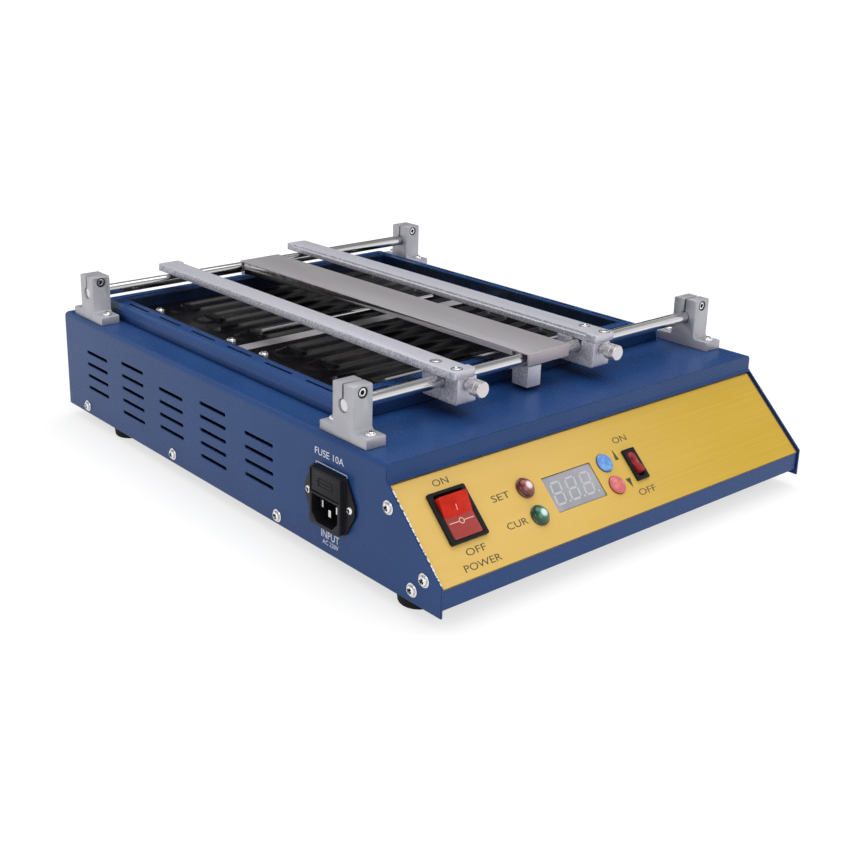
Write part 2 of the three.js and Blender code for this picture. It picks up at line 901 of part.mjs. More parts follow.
// The shallow lobes beyond the turns on the left
function beadLobes(start) {
  const lobes = [];
  for (const [first, last] of beadRuns) {
    for (let row = first; row < last; row += 2) {
      const middle = (beadRowY(start, row) + beadRowY(start, row + 1)) / 2;
      const x0 = -beadHalfLength - lobeLength;
      const outline = rectangle(x0, -beadHalfLength, middle - lobeRadius, middle + lobeRadius);
      const radii = [lobeRadius / 2, 0, 0, lobeRadius / 2];
      lobes.push(
        prism(rounded(outline, radii), "z", plateTop - plateSheet / 2, plateTop + lobeHeight),
      );
    }
  }
  return lobes;
}

function heaterPlate(start) {
  const y0 = start === plateStarts.front ? start + fitGap : start;
  const y1 = start + plateLength - (start === plateStarts.front ? 0 : fitGap);
  const sheetBody = block(-trayHalf, trayHalf, y0, y1, plateBottom, plateTop);
  const rim = {
    bevelEnabled: true,
    bevelThickness: beadRound,
    bevelSize: beadRound,
    bevelOffset: -beadRound,
    bevelSegments: edgeSteps,
  };
  const beads = beadPaths(start).map((path) => {
    const outline = band(roundedPath(path, beadTurnRadius), beadWidth);
    const top = plateTop + beadHeight - beadRound;
    return solid(prismGeometry(outline, "z", plateTop, top, rim));
  });
  const screwX = windowHalfWidth - plateScrewMargin;
  const holes = [plateScrewInset, plateLength - plateScrewRearInset].flatMap((inset) =>
    [-screwX, screwX].map((x) =>
      prism(
        circle(x, start + inset, plateScrewRadius, smallSteps),
        "z",
        plateBottom - overrun,
        plateTop + overrun,
      ),
    ),
  );
  return cut(join(sheetBody, ...beads, ...beadLobes(start)), ...holes);
}

function centreStrip() {
  const y0 = plateStarts.front + plateLength + fitGap;
  const y1 = plateStarts.rear - fitGap;
  return block(-trayHalf, trayHalf, y0, y1, plateBottom, plateBottom + stripSheet);
}

function micaHeater(start) {
  const bar = stripWidth / 2;
  const y0 = start + micaMargin + (start === plateStarts.front ? 0 : bar);
  const y1 = start + plateLength - micaMargin - (start === plateStarts.front ? bar : 0);
  const top = plateBottom - fitGap;
  return block(-trayHalf + micaMargin, trayHalf - micaMargin, y0, y1, top - micaThickness, top);
}

function probe(start) {
  const y = beadRowY(start, 0) + beadPitch / 2;
  const z = plateTop + seatGap + probeRadius;
  const reach = beadHalfLength - probeMargin;
  return prism(circle(y, z, probeRadius, smallSteps), "x", -reach, reach);
}

// Shaft support, its clamp screw and the rails
function shaftSupport(x0, y) {
  const half = supportBlock / 2;
  const base = supportLength / 2;
  const z0 = topZ + seatGap;
  const top = topZ + supportHeight;
  const profile = [
    [y - base, z0],
    [y + base, z0],
    [y + base, z0 + supportBase],
    [y + half, z0 + supportBase],
    [y + half, top],
    [y - half, top],
    [y - half, z0 + supportBase],
    [y - base, z0 + supportBase],
  ];
  const edge = supportFillet / 2;
  const radii = [0, 0, edge, supportFillet, edge, edge, supportFillet, edge];
  const x1 = x0 + supportWidth;
  const bore = circle(y, railZ, railRadius + railClearance, fineSteps);
  const slit = rectangle(y - supportSlit / 2, y + supportSlit / 2, railZ, top + overrun);
  const screwX = (x0 + x1) / 2;
  const screwZ = topZ + clampScrewHeight;
  const screwHole = circle(screwX, screwZ, clampScrewRadius + fitGap, smallSteps);
  const screwSeat = circle(screwX, screwZ, clampHeadRadius + clampHeadGap);
  const seatDepth = clampHeadInset + clampHeadLength + seatGap;
  return cut(
    prism(rounded(profile, radii, edgeSteps), "x", x0, x1),
    prism(bore, "x", x0 - overrun, x1 + overrun),
    prism(slit, "x", x0 - overrun, x1 + overrun),
    prism(screwHole, "y", y - half - overrun, y + half + overrun),
    prism(screwSeat, "y", y - half - overrun, y - half + seatDepth),
  );
}

// Socket head screw, sunk in the front face of its support
function clampScrew(x, y) {
  const z = topZ + clampScrewHeight;
  const headFront = y - supportBlock / 2 + clampHeadInset;
  const headRear = headFront + clampHeadLength;
  const head = prism(circle(x, z, clampHeadRadius), "y", headFront, headRear);
  const shank = circle(x, z, clampScrewRadius, smallSteps);
  const socket = circle(x, z, clampSocketRadius, hexagonSteps);
  return cut(
    join(head, prism(shank, "y", headRear - clampHeadLength / 2, y + supportBlock / 2)),
    prism(socket, "y", headFront - overrun, headFront + clampSocketDepth),
  );
}

function rail(y) {
  const reach = halfWidth - supportInset - railEnd;
  return prism(circle(y, railZ, railRadius, fineSteps), "x", -reach, reach);
}

// Clamp bar with its rabbet on the side that faces the board
function clampBar(x, boardSide) {
  const half = barWidth / 2;
  const barFront = railFrontY - barFrontOverhang;
  const barRear = railRearY + barRearOverhang;
  const plan = rounded(rectangle(x - half, x + half, barFront, barRear), barCornerRadius);
  const edge = x + boardSide * half;
  const rabbet = block(
    Math.min(edge - boardSide * rabbetWidth, edge + boardSide * overrun),
    Math.max(edge - boardSide * rabbetWidth, edge + boardSide * overrun),
    barFront + rabbetMargin,
    barRear - rabbetMargin,
    barBottom + barThickness - rabbetDepth,
    barBottom + barThickness + overrun,
  );
  return cut(prism(plan, "z", barBottom, barBottom + barThickness), rabbet);
}

// Clamp block: a saddle on the front rail, drilled for the thumb screw
function clampBlock(x) {
  const top = barBottom - seatGap;
  const bottom = top - blockHeight;
  const back = blockFront + blockLength;
  const bevel = blockChamfer;
  const side = [
    [blockFront + bevel, bottom],
    [back - bevel, bottom],
    [back, bottom + bevel],
    [back, top],
    [blockFront, top],
    [blockFront, bottom + bevel],
  ];
  const reach = railRadius + railClearance;
  const x0 = x - blockWidth / 2;
  const x1 = x + blockWidth / 2;
  const throat = rectangle(railFrontY - reach, railFrontY + reach, railZ, top + overrun);
  const screwHole = circle(x, railZ, thumbShankRadius + fitGap, smallSteps);
  return cut(
    prism(side, "x", x0, x1),
    prism(circle(railFrontY, railZ, reach, fineSteps), "x", x0 - overrun, x1 + overrun),
    prism(throat, "x", x0 - overrun, x1 + overrun),
    prism(screwHole, "y", blockFront - overrun, railFrontY),
  );
}

// Knurled thumb screw that bears on the front rail
function thumbScrew(x) {
  const thumbFront = blockFront - thumbReach;
  const headRear = thumbFront + thumbHeadLength;
  const tip = railFrontY - railRadius - fitGap;
  const knurled = Array.from({ length: 2 * thumbKnurls }, (_, i) => {
    const radius = thumbRadius - (i % 2) * thumbKnurlDepth;
    const turn = (Math.PI * i) / thumbKnurls;
    return [x + radius * Math.cos(turn), railZ + radius * Math.sin(turn)];
  });
  const neckRear = blockFront - seatGap;
  const head = prism(knurled, "y", thumbFront, headRear);
  const round = (radius, from, to) => prism(circle(x, railZ, radius), "y", from, to);
  const neck = round(thumbNeckRadius, headRear - thumbDishDepth, neckRear);
  const shank = round(thumbShankRadius, neckRear - thumbDishDepth, tip);
  const dish = round(thumbDishRadius, thumbFront - overrun, thumbFront + thumbDishDepth);
  return cut(join(head, neck, shank), dish);
}

// Support strip: front end and hems turned down, a hook at the rear that reaches under the rail
function carrierStrip() {
  const half = carrierWidth / 2;
  const low = barBottom + carrierSheet - carrierFlap;
  const top = barBottom + carrierSheet;
  const carrierFront = railFrontY - carrierFrontOverhang;
  const carrierRear = railRearY + carrierRearOverhang;
  const path = [
    [carrierFront, low],
    [carrierFront, top],
    [carrierRear, top],
  ];
  const folded = prism(foldedSheet(path, -carrierSheet), "x", -half, half);
  const hookReach = railRadius + fitGap + carrierSheet;
  const hookPath = [
    [railRearY - hookReach, top],
    [railRearY - hookReach, railZ - hookReach],
    [railRearY, railZ - hookReach],
  ];
  const hook = prism(foldedSheet(hookPath, carrierSheet), "x", -half, carrierHookWidth - half);
  const hemFront = railFrontY + railRadius + carrierHemClearance;
  const hemRear = railRearY - railRadius - carrierHemClearance;
  const hems = [-half, half - carrierSheet].map((x) =>
    block(x, x + carrierSheet, hemFront, hemRear, top - carrierHem, top),
  );
  return join(folded, hook, ...hems);
}

// Block under the front rail, held to the strip by a neck behind the rail
function carrierLug() {
  const bottom = topZ + lugClearance;
  const neckFront = railFrontY + railRadius + fitGap;
  const neckRear = neckFront + lugNeck;
  const ledge = bottom + lugLowHeight;
  const lugFront = railFrontY - lugReach;
  const side = [
    [lugFront, bottom],
    [neckRear, bottom],
    [neckRear, barBottom - seatGap],
    [neckFront, barBottom - seatGap],
    [neckFront, ledge],
    [lugFront, ledge],
  ];
  return prism(side, "x", lugX - lugWidth / 2, lugX + lugWidth / 2);
}

// A switch's outlines, from its rocker: the upper corners swing out past its ends as it tilts
function switchSizes(spec) {
  const tilt = THREE.MathUtils.degToRad(Math.abs(spec.tiltDegrees));
  const rise = spec.pivotDepth + spec.rockerRise;
  const reach = spec.rockerHalf * Math.cos(tilt) + rise * Math.sin(tilt);
  const cavityWidth = spec.rockerWidth + 2 * fitGap;
  const cavityLength = 2 * (reach + fitGap);
  const bodyWidth = cavityWidth + 2 * spec.sideWall;
  const bodyLength = cavityLength + 2 * spec.endWall;
  const bezelWidth = bodyWidth + 2 * spec.sideLap;
  const bezelLength = bodyLength + 2 * spec.endLap;
  return { cavityWidth, cavityLength, bodyWidth, bodyLength, bezelWidth, bezelLength };
}

// Rocker switch in the slope's frame: the body with its bezel, and the rocker about its pivot
function switchBody(x, s, spec) {
  const sizes = switchSizes(spec);
  const bezelTop = seatGap + spec.bezelThickness;
  const bezelOutline = centred(x, s, sizes.bezelWidth, sizes.bezelLength);
  const bezel = prism(
    rounded(bezelOutline, spec.bezelThickness / 2, edgeSteps),
    "z",
    seatGap,
    bezelTop,
  );
  const shellOutline = centred(x, s, sizes.bodyWidth, sizes.bodyLength);
  const shell = prism(shellOutline, "z", -spec.bodyDepth, seatGap);
  const cavity = prism(
    rockerOutline(x, s, sizes.cavityWidth, sizes.cavityLength, spec),
    "z",
    -spec.bodyDepth + spec.floor,
    bezelTop + overrun,
  );
  const pinReach = sizes.cavityWidth / 2 + spec.pinLength + fitGap;
  const sockets = prism(
    circle(s, -spec.pivotDepth, spec.pinRadius + fitGap, smallSteps),
    "x",
    x - pinReach,
    x + pinReach,
  );
  return cut(join(bezel, shell), cavity, sockets);
}

// A rocker or its opening seen from above, with the rocker's rounded corners
function rockerOutline(x, s, width, length, spec) {
  const radius = (width / 2) * spec.cornerShare;
  return rounded(centred(x, s, width, length), radius, foldSteps);
}

function rockerBody(spec) {
  const half = spec.rockerHalf;
  const top = spec.pivotDepth + spec.rockerRise;
  const shoulder = -spec.pivotDepth * rockerShoulderShare;
  const side = [
    [-half * rockerHeelShare, -half * rockerHeelShare],
    [half * rockerHeelShare, -half * rockerHeelShare],
    [half * (1 - rockerShoulderShare), shoulder],
    [half, spec.pivotDepth],
    [half, top],
    [0, spec.pivotDepth + spec.rockerDip],
    [-half, top],
    [-half, spec.pivotDepth],
    [-half * (1 - rockerShoulderShare), shoulder],
  ];
  const width = spec.rockerWidth / 2;
  const plan = rockerOutline(0, 0, spec.rockerWidth, 2 * half, spec);
  const pin = circle(0, 0, spec.pinRadius, smallSteps);
  return join(
    prism(side, "x", -width, width).intersect(prism(plan, "z", -half, half)),
    prism(pin, "x", -width - spec.pinLength, width + spec.pinLength),
  );
}

function addSwitch(name, x, s, spec) {
  add(name + "_switch_body", switchBody(x, s, spec), blackPlastic, slope);
  const rocker = add(name + "_rocker", rockerBody(spec), redPlastic, slope);
  rocker.position.set(x, s, -spec.pivotDepth);
  rocker.rotation.x = THREE.MathUtils.degToRad(spec.tiltDegrees);
}

// Display: a grey window in the panel and the module behind it
function displayWindow() {
  const top = -displayRecess;
  return prism(displayOutline(0), "z", top - displayGlass, top);
}

function displayModule() {
  const behindPanel = panelFace - sheet - fitGap;
  const top = -displayRecess - displayGlass - seatGap;
  const core = prism(displayOutline(0), "z", behindPanel - displayDepth, top);
  const flange = prism(
    displayOutline(displayFlange),
    "z",
    behindPanel - displayFlangeThickness,
    behindPanel,
  );
  return join(core, flange);
}

function lamp(x, s) {
  const rimTop = seatGap + lampRim;
  const dome = Array.from({ length: domeSteps }, (_, i) => {
    const turn = (Math.PI / 2) * (i / domeSteps);
    const radius = (lampRadius - lampRim / 2) * Math.cos(turn);
    return [radius, rimTop + (lampDome - lampRim) * Math.sin(turn)];
  });
  const profile = [
    [0, -lampDepth],
    [lampBodyRadius, -lampDepth],
    [lampBodyRadius, seatGap],
    [lampRadius, seatGap],
    [lampRadius, rimTop],
    ...dome,
    [0, seatGap + lampDome],
  ];
  return turned(profile).translate([x, s, 0]);
}

// Push button: the bush behind the label, and the cap that it guides, held in by the stem's foot
function buttonBush(x, s) {
  const bore = stemRadius + fitGap;
  const well = capRadius + fitGap;
  const wellFloor = capRise - capThickness - capTravel - fitGap;
  const top = -labelThickness - seatGap;
  const flangeTop = panelFace - sheet - seatGap;
  const profile = [
    [bore, -bushDepth],
    [bushRadius, -bushDepth],
    [bushRadius, flangeTop - bushFlange],
    [bushFlangeRadius, flangeTop - bushFlange],
    [bushFlangeRadius, flangeTop],
    [bushRadius, flangeTop],
    [bushRadius, top],
    [well, top],
    [well, wellFloor],
    [bore, wellFloor],
    [bore, -bushDepth],
  ];
  return turned(profile).translate([x, s, 0]);
}

function buttonCap(x, s) {
  const bottom = capRise - capThickness;
  const footTop = -bushDepth - seatGap;
  const profile = [
    [0, -stemDepth],
    [stemFootRadius, -stemDepth],
    [stemFootRadius, footTop],
    [stemRadius, footTop],
    [stemRadius, bottom],
    [capRadius, bottom],
    [capRadius, capRise - capBevel],
    [capRadius - capBevel, capRise],
    [0, capRise],
  ];
  return turned(profile, fineSteps).translate([x, s, 0]);
}

// Mains inlet: outlines in the plane of the side panel
function inletOutline(width, height, radius) {
  return rounded(centred(inletY, inletZ, width, height), radius);
}

function drawerOutline(width, height) {
  return centred(inletY, inletZ + drawerZ, width, height);
}

function inletBody() {
  const face = wallX - inletProtrusion;
  const seat = wallX - seatGap;
  const halfHeight = inletHeight / 2;
  const ears = [
    [inletY - inletEarBottomHalf, inletZ - halfHeight],
    [inletY + inletEarBottomHalf, inletZ - halfHeight],
    [inletY + inletEarReach, inletZ - inletEarHalf],
    [inletY + inletEarReach, inletZ + inletEarHalf],
    [inletY + inletEarTopHalf, inletZ + halfHeight],
    [inletY - inletEarTopHalf, inletZ + halfHeight],
    [inletY - inletEarReach, inletZ + inletEarHalf],
    [inletY - inletEarReach, inletZ - inletEarHalf],
  ];
  const flange = prism(rounded(ears, inletCorner, edgeSteps), "x", seat - inletFlange, seat);
  const raised = prism(inletOutline(inletWidth, inletHeight, inletCorner), "x", face, seat);
  const inside = prism(
    inletOutline(inletBodyWidth, inletBodyHeight, inletCorner),
    "x",
    seat - inletFlange,
    wallX + inletBodyDepth,
  );
  const socketHalf = socketWidth / 2;
  const socketRoof = inletZ + socketTop;
  const socketFloor = socketRoof - socketHeight;
  const socket = [
    [inletY - socketHalf + socketBevel, socketFloor],
    [inletY + socketHalf - socketBevel, socketFloor],
    [inletY + socketHalf, socketFloor + socketBevel],
    [inletY + socketHalf, socketRoof],
    [inletY - socketHalf, socketRoof],
    [inletY - socketHalf, socketFloor + socketBevel],
  ];
  const drawerRear = face + drawerInset + drawerFace + carrierBoxDepth + fitGap;
  const hollow = cut(
    join(flange, raised, inside),
    prism(socket, "x", face - overrun, face + socketDepth),
    prism(
      drawerOutline(drawerWidth + 2 * fitGap, drawerHeight + 2 * fitGap),
      "x",
      face - overrun,
      face + drawerInset + drawerFace + fitGap,
    ),
    prism(
      drawerOutline(carrierBoxWidth + 2 * fitGap, carrierBoxHeight + 2 * fitGap),
      "x",
      face - overrun,
      drawerRear,
    ),
  );
  const pins = [
    [-pinPitch, livePinZ],
    [pinPitch, livePinZ],
    [0, earthPinZ],
  ].map(([y, z]) =>
    block(
      face + socketDepth - pinLength,
      face + socketDepth + overrun,
      inletY + y - pinWidth / 2,
      inletY + y + pinWidth / 2,
      inletZ + z - pinHeight / 2,
      inletZ + z + pinHeight / 2,
    ),
  );
  return join(hollow, ...pins);
}

function fuseDrawer() {
  const x0 = wallX - inletProtrusion + drawerInset;
  const x1 = x0 + drawerFace;
  const fuseX = x1 + fuseBehindFace;
  const pocket = fuseRadius + fitGap;
  const z = inletZ + drawerZ;
  const face = prism(drawerOutline(drawerWidth, drawerHeight), "x", x0, x1);
  const box = prism(
    drawerOutline(carrierBoxWidth, carrierBoxHeight),
    "x",
    x1 - drawerFace / 2,
    x1 + carrierBoxDepth,
  );
  const trough = block(
    fuseX - pocket,
    fuseX + pocket,
    inletY - fuseLength / 2 - fitGap,
    inletY + fuseLength / 2 + fitGap,
    z - carrierBoxHeight / 2 + fusePocketFloor,
    z + carrierBoxHeight,
  );
  return cut(join(face, box), trough);
}

function fuse() {
  const x = wallX - inletProtrusion + drawerInset + drawerFace + fuseBehindFace;
  const bottom = inletZ + drawerZ - carrierBoxHeight / 2 + fusePocketFloor;
  const centre = circle(x, bottom + seatGap + fuseRadius, fuseRadius);
  return prism(centre, "y", inletY - fuseLength / 2, inletY + fuseLength / 2);
}

// Inside: control board on its standoffs, transformer, solid-state relay, terminal block
function controlBoard() {
  const z0 = panTop + seatGap;
  const z1 = z0 + boardStandoff;
  const halfW = boardWidth / 2;
  const halfL = boardLength / 2;
  const plate = block(
    boardX - halfW,
    boardX + halfW,
    boardY - halfL,
    boardY + halfL,
    z1,
    z1 + boardSheet,
  );
  const feet = [-1, 1].flatMap((i) =>
    [-1, 1].map((j) =>
      prism(
        circle(
          boardX + i * (halfW - standoffInset),
          boardY + j * (halfL - standoffInset),
          standoffRadius,
          smallestSteps,
        ),
        "z",
        z0,
        z1 + boardSheet / 2,
      ),
    ),
  );
  const relays = [-1, 1].map((i) =>
    block(
      boardX + i * relaySize - relaySize / 2,
      boardX + i * relaySize + relaySize / 2,
      boardY,
      boardY + relaySize,
      z1 + boardSheet / 2,
      z1 + boardSheet + relayHeight,
    ),
  );
  return join(plate, ...feet, ...relays);
}

function transformer() {
  const z0 = panTop + seatGap;
  const at = (width, length, low, high) =>
    block(
      transformerX - width / 2,
      transformerX + width / 2,
      transformerY - length / 2,
      transformerY + length / 2,
      low,
      high,
    );
  return join(
    at(footplateWidth, coreLength, z0, z0 + footplateThickness),
    at(coreWidth, coreLength, z0, z0 + coreHeight),
    at(bobbinWidth, bobbinLength, z0 + bobbinMargin, z0 + coreHeight - bobbinMargin),
  );
}

function solidRelay() {
  const z0 = panTop + seatGap;
  const y0 = solidRelayY - solidRelayLength / 2;
  const y1 = solidRelayY + solidRelayLength / 2;
  const top = z0 + solidRelayHeight;
  const side = [
    [y0, z0],
    [y1, z0],
    [y1, top - solidRelayStep],
    [y1 - solidRelayShoulder, top - solidRelayStep],
    [y1 - solidRelayShoulder, top],
    [y0 + solidRelayShoulder, top],
    [y0 + solidRelayShoulder, top - solidRelayStep],
    [y0, top - solidRelayStep],
  ];
  return prism(side, "x", solidRelayX - solidRelayWidth / 2, solidRelayX + solidRelayWidth / 2);
}

function terminalBlock() {
  const z0 = panTop + seatGap;
  const x0 = terminalX - terminalWidth / 2;
  const x1 = terminalX + terminalWidth / 2;
  const y0 = terminalY - terminalLength / 2;
  const y1 = terminalY + terminalLength / 2;
  const top = z0 + terminalHeight;
  const pitch = (terminalWidth - terminalWall) / terminalWays;
  const ways = Array.from({ length: terminalWays }, (_, i) => x0 + terminalWall + i * pitch);
  const bay = (x, from, to) =>
    block(x, x + pitch - terminalWall, from, to, top - terminalSlotDepth, top + overrun);
  const bays = ways.flatMap((x) => [
    bay(x, y0 - overrun, y0 + terminalSlotDepth),
    bay(x, y1 - terminalSlotDepth, y1 + overrun),
  ]);
  return cut(block(x0, x1, y0, y1, z0, top), ...bays);
}

// The whole: housing
add("cover", coverBody(), blue);
add("base_pan", basePan(), blue);
add("front_panel", frontPanel(), blue);
add("label_plate", labelPlate(), yellow);
add("rear_panel", rearPanel(), blue);
const footX = halfWidth - footInset;
const footPlaces = {
  foot_front_left: [-footX, front + footFrontSetback],
  foot_front_right: [footX, front + footFrontSetback],
  foot_rear_left: [-footX, rear - footRearSetback],
  foot_rear_right: [footX, rear - footRearSetback],
};
for (const [name, [x, y]] of Object.entries(footPlaces))
  add(name, foot(), rubber).position.set(x, y, 0);

// Heater
add("heater_frame", heaterFrame(), blue);
add("heater_tray", heaterTray(), steel);
add("insulation_board", insulationBoard(), mineral);
for (const [name, start] of Object.entries(plateStarts)) {
  add("heater_plate_" + name, heaterPlate(start), enamel);
  add("mica_heater_" + name, micaHeater(start), mineral);
  add("probe_" + name, probe(start), chrome);
}
add("centre_strip", centreStrip(), steel);

// Rails and their supports
const supportSides = { left: -halfWidth + supportInset, right: halfWidth - supportInset - supportWidth };
for (const [end, y] of Object.entries({ front: railFrontY, rear: railRearY })) {
  for (const [side, x] of Object.entries(supportSides)) {
    add("support_" + end + "_" + side, shaftSupport(x, y), aluminium);
    add("clamp_screw_" + end + "_" + side, clampScrew(x + supportWidth / 2, y), chrome);
  }
  add("rail_" + end, rail(y), chrome);
}

// Board holder
for (const [side, x, boardSide] of [
  ["left", leftBarX, 1],
  ["right", rightBarX, -1],
]) {
  const blockX = x + boardSide * blockOffset;
  add("clamp_bar_" + side, clampBar(x, boardSide), aluminium);
  add("clamp_block_" + side, clampBlock(blockX), aluminium);
  add("thumb_screw_" + side, thumbScrew(blockX), chrome);
}
const carrier = new THREE.Group();
carrier.position.x = carrierX;
part.add(carrier);
const strip = add("support_strip", carrierStrip(), steel, carrier);
strip.rotation.z = THREE.MathUtils.degToRad(carrierSkewDegrees);
strip.position.x = railFrontY * Math.sin(strip.rotation.z);
add("support_block", carrierLug(), aluminium, carrier);

// Controls
addSwitch("power", powerX, powerS, powerSwitch);
addSwitch("heat", heatX, heatS, heatSwitch);
add("display_window", displayWindow(), greyWindow, slope);
add("display_module", displayModule(), blackPlastic, slope);
add("lamp_red", lamp(lampX, lampRedS), redPlastic, slope);
add("lamp_green", lamp(lampX, lampGreenS), greenPlastic, slope);
add("up_button_bush", buttonBush(upX, upS), blackPlastic, slope);
add("up_button_cap", buttonCap(upX, upS), bluePlastic, slope);
add("down_button_bush", buttonBush(downX, downS), blackPlastic, slope);
add("down_button_cap", buttonCap(downX, downS), coralPlastic, slope);

// Mains inlet
add("inlet_body", inletBody(), blackPlastic);
add("fuse_drawer", fuseDrawer(), blackPlastic);
add("fuse", fuse(), glass);

// Inside the housing
add("control_board", controlBoard(), circuit);
add("transformer", transformer(), steel);
add("solid_state_relay", solidRelay(), blackPlastic);
add("terminal_block", terminalBlock(), mineral);

export default part;
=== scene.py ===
# The looks of a bench-top infrared preheating plate with a board holder that slides on two rails.
# Metres, +Z up, +Y to the rear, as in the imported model. Sizes are written in millimetres and
# turned into metres by MM, in_metres() or add_bars(); the studio's are in metres.
import json
import math
import random

import bmesh
import bpy
from mathutils import Matrix, Vector

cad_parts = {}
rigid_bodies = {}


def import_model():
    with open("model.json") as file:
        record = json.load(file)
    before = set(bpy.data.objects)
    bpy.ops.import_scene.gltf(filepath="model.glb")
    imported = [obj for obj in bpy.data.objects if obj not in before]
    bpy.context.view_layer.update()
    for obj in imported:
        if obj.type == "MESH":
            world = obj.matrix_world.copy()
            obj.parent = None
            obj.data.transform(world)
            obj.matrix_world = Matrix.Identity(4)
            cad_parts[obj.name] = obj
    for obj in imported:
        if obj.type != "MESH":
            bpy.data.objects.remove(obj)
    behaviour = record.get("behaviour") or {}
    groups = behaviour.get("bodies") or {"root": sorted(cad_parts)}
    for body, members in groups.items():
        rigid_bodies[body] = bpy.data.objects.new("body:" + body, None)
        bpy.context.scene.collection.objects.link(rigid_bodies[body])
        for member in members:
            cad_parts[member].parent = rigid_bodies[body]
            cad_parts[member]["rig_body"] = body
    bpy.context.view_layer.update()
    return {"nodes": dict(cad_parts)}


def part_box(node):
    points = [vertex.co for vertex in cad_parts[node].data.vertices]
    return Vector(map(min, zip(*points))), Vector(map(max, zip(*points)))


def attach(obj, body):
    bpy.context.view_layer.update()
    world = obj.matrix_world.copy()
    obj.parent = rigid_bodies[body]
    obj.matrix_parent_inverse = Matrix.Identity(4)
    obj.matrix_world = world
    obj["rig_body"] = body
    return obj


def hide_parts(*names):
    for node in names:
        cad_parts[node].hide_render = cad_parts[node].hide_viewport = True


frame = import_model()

MM = 0.001
QUARTER = math.pi / 2
scene = bpy.context.scene

# The sloping face as a sheet: its X runs to the right, its Y up the slope, its Z out of it
SLOPE_FRONT = -210 * MM
SLOPE_FOOT = 23.5 * MM
SLOPE_RUN = 45.6 * MM
SLOPE_RISE = 45.15 * MM
SLOPE = Matrix.Translation((0, SLOPE_FRONT, SLOPE_FOOT)) @ Matrix.Rotation(
    math.atan2(SLOPE_RISE, SLOPE_RUN), 4, "X"
)
UP_SLOPE = SLOPE.to_3x3() @ Vector((0, 1, 0))

# On the slope, X and how far up: the lamps, and the creases of the two rockers
RED_LAMP = (-73.5 * MM, 37.7 * MM)
GREEN_LAMP = (-73.5 * MM, 20.2 * MM)
LAMP_HEIGHT = 4.5 * MM
POWER_CREASE = 35.1 * MM
HEAT_CREASE = 29.5 * MM

# The left side face as a sheet: its X runs to the front, its Y up, its Z out of the face
SIDE_FACE = Matrix(((0, 0, -1, -160 * MM), (-1, 0, 0, 0), (0, 1, 0, 0), (0, 0, 0, 1)))

# The four corners that the shaft supports, their clamp screws and the feet are named after
CORNERS = ("front_left", "front_right", "rear_left", "rear_right")


def box_of(node):
    """A node's box, and its middle."""
    low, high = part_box(node)
    return low, high, (low + high) / 2


def in_metres(pairs):
    return [(p * MM, q * MM) for p, q in pairs]


# ---------------------------------------------------------------- node helpers

FLOAT, VECTOR, INTEGER = "NodeSocketFloat", "NodeSocketVector", "NodeSocketInt"
GEOMETRY, OBJECT, MATERIAL = "NodeSocketGeometry", "NodeSocketObject", "NodeSocketMaterial"


def connect(tree, node, inputs):
    """Each input, by name or number, gets a socket to follow or a value to hold."""
    for key, value in inputs.items():
        if isinstance(value, bpy.types.NodeSocket):
            tree.links.new(value, node.inputs[key])
        else:
            node.inputs[key].default_value = value


def add_node(tree, kind, inputs):
    node = tree.nodes.new(kind)
    connect(tree, node, inputs)
    return node


def socket_of(sockets, name):
    """The socket of that name that the node uses in its present mode."""
    return next(s for s in sockets if s.name == name and s.enabled)


def new_group(name, kind, inputs, outputs):
    """A node group's tree, what comes into it and what leaves it; inputs are type and default."""
    tree = bpy.data.node_groups.new(name, kind)
    for label, (socket_type, default) in inputs.items():
        socket = tree.interface.new_socket(name=label, in_out="INPUT", socket_type=socket_type)
        if default is not None:
            socket.default_value = default
    for label, socket_type in outputs.items():
        tree.interface.new_socket(name=label, in_out="OUTPUT", socket_type=socket_type)
    return tree, tree.nodes.new("NodeGroupInput").outputs, tree.nodes.new("NodeGroupOutput")


def math_node(tree, operation, first, second):
    node = tree.nodes.new("ShaderNodeMath")
    node.operation = operation
    connect(tree, node, {0: first, 1: second})
    return node.outputs[0]


def product(tree, first, *factors):
    for factor in factors:
        first = math_node(tree, "MULTIPLY", first, factor)
    return first


def vector_math(tree, operation, *operands, output="Vector"):
    node = tree.nodes.new("ShaderNodeVectorMath")
    node.operation = operation
    connect(tree, node, dict(enumerate(operands)))
    return node.outputs[output]


def map_range(tree, value, from_low, from_high, to_low=0, to_high=1, kind="SMOOTHSTEP"):
    node = tree.nodes.new("ShaderNodeMapRange")
    node.interpolation_type = kind
    bounds = {"From Min": from_low, "From Max": from_high, "To Min": to_low, "To Max": to_high}
    connect(tree, node, {"Value": value, **bounds})
    return node.outputs["Result"]


def object_place(tree):
    return tree.nodes.new("ShaderNodeTexCoord").outputs["Object"]


def surface_normal(tree):
    return tree.nodes.new("ShaderNodeNewGeometry").outputs["Normal"]


def parts_of(tree, vector):
    return add_node(tree, "ShaderNodeSeparateXYZ", {0: vector}).outputs


def noise_texture(tree, place, scale, detail, roughness=0.5):
    values = {"Vector": place, "Scale": scale, "Detail": detail, "Roughness": roughness}
    return add_node(tree, "ShaderNodeTexNoise", values).outputs[0]


# ---------------------------------------------------------------- shader node groups


def stretched_noise_group(name, detail, roughness):
    """Noise on object coordinates, stretched by a vector: brushing, grain or mottling."""
    tree, entry, leave = new_group(
        name,
        "ShaderNodeTree",
        {"Per Metre": (VECTOR, (100, 100, 100)), "Low": (FLOAT, 0.35), "High": (FLOAT, 0.65)},
        {"Mask": FLOAT},
    )
    scaled = vector_math(tree, "MULTIPLY", object_place(tree), entry["Per Metre"])
    noise = noise_texture(tree, scaled, 1, detail, roughness)
    mask = map_range(tree, noise, entry["Low"], entry["High"], kind="LINEAR")
    connect(tree, leave, {"Mask": mask})
    return tree


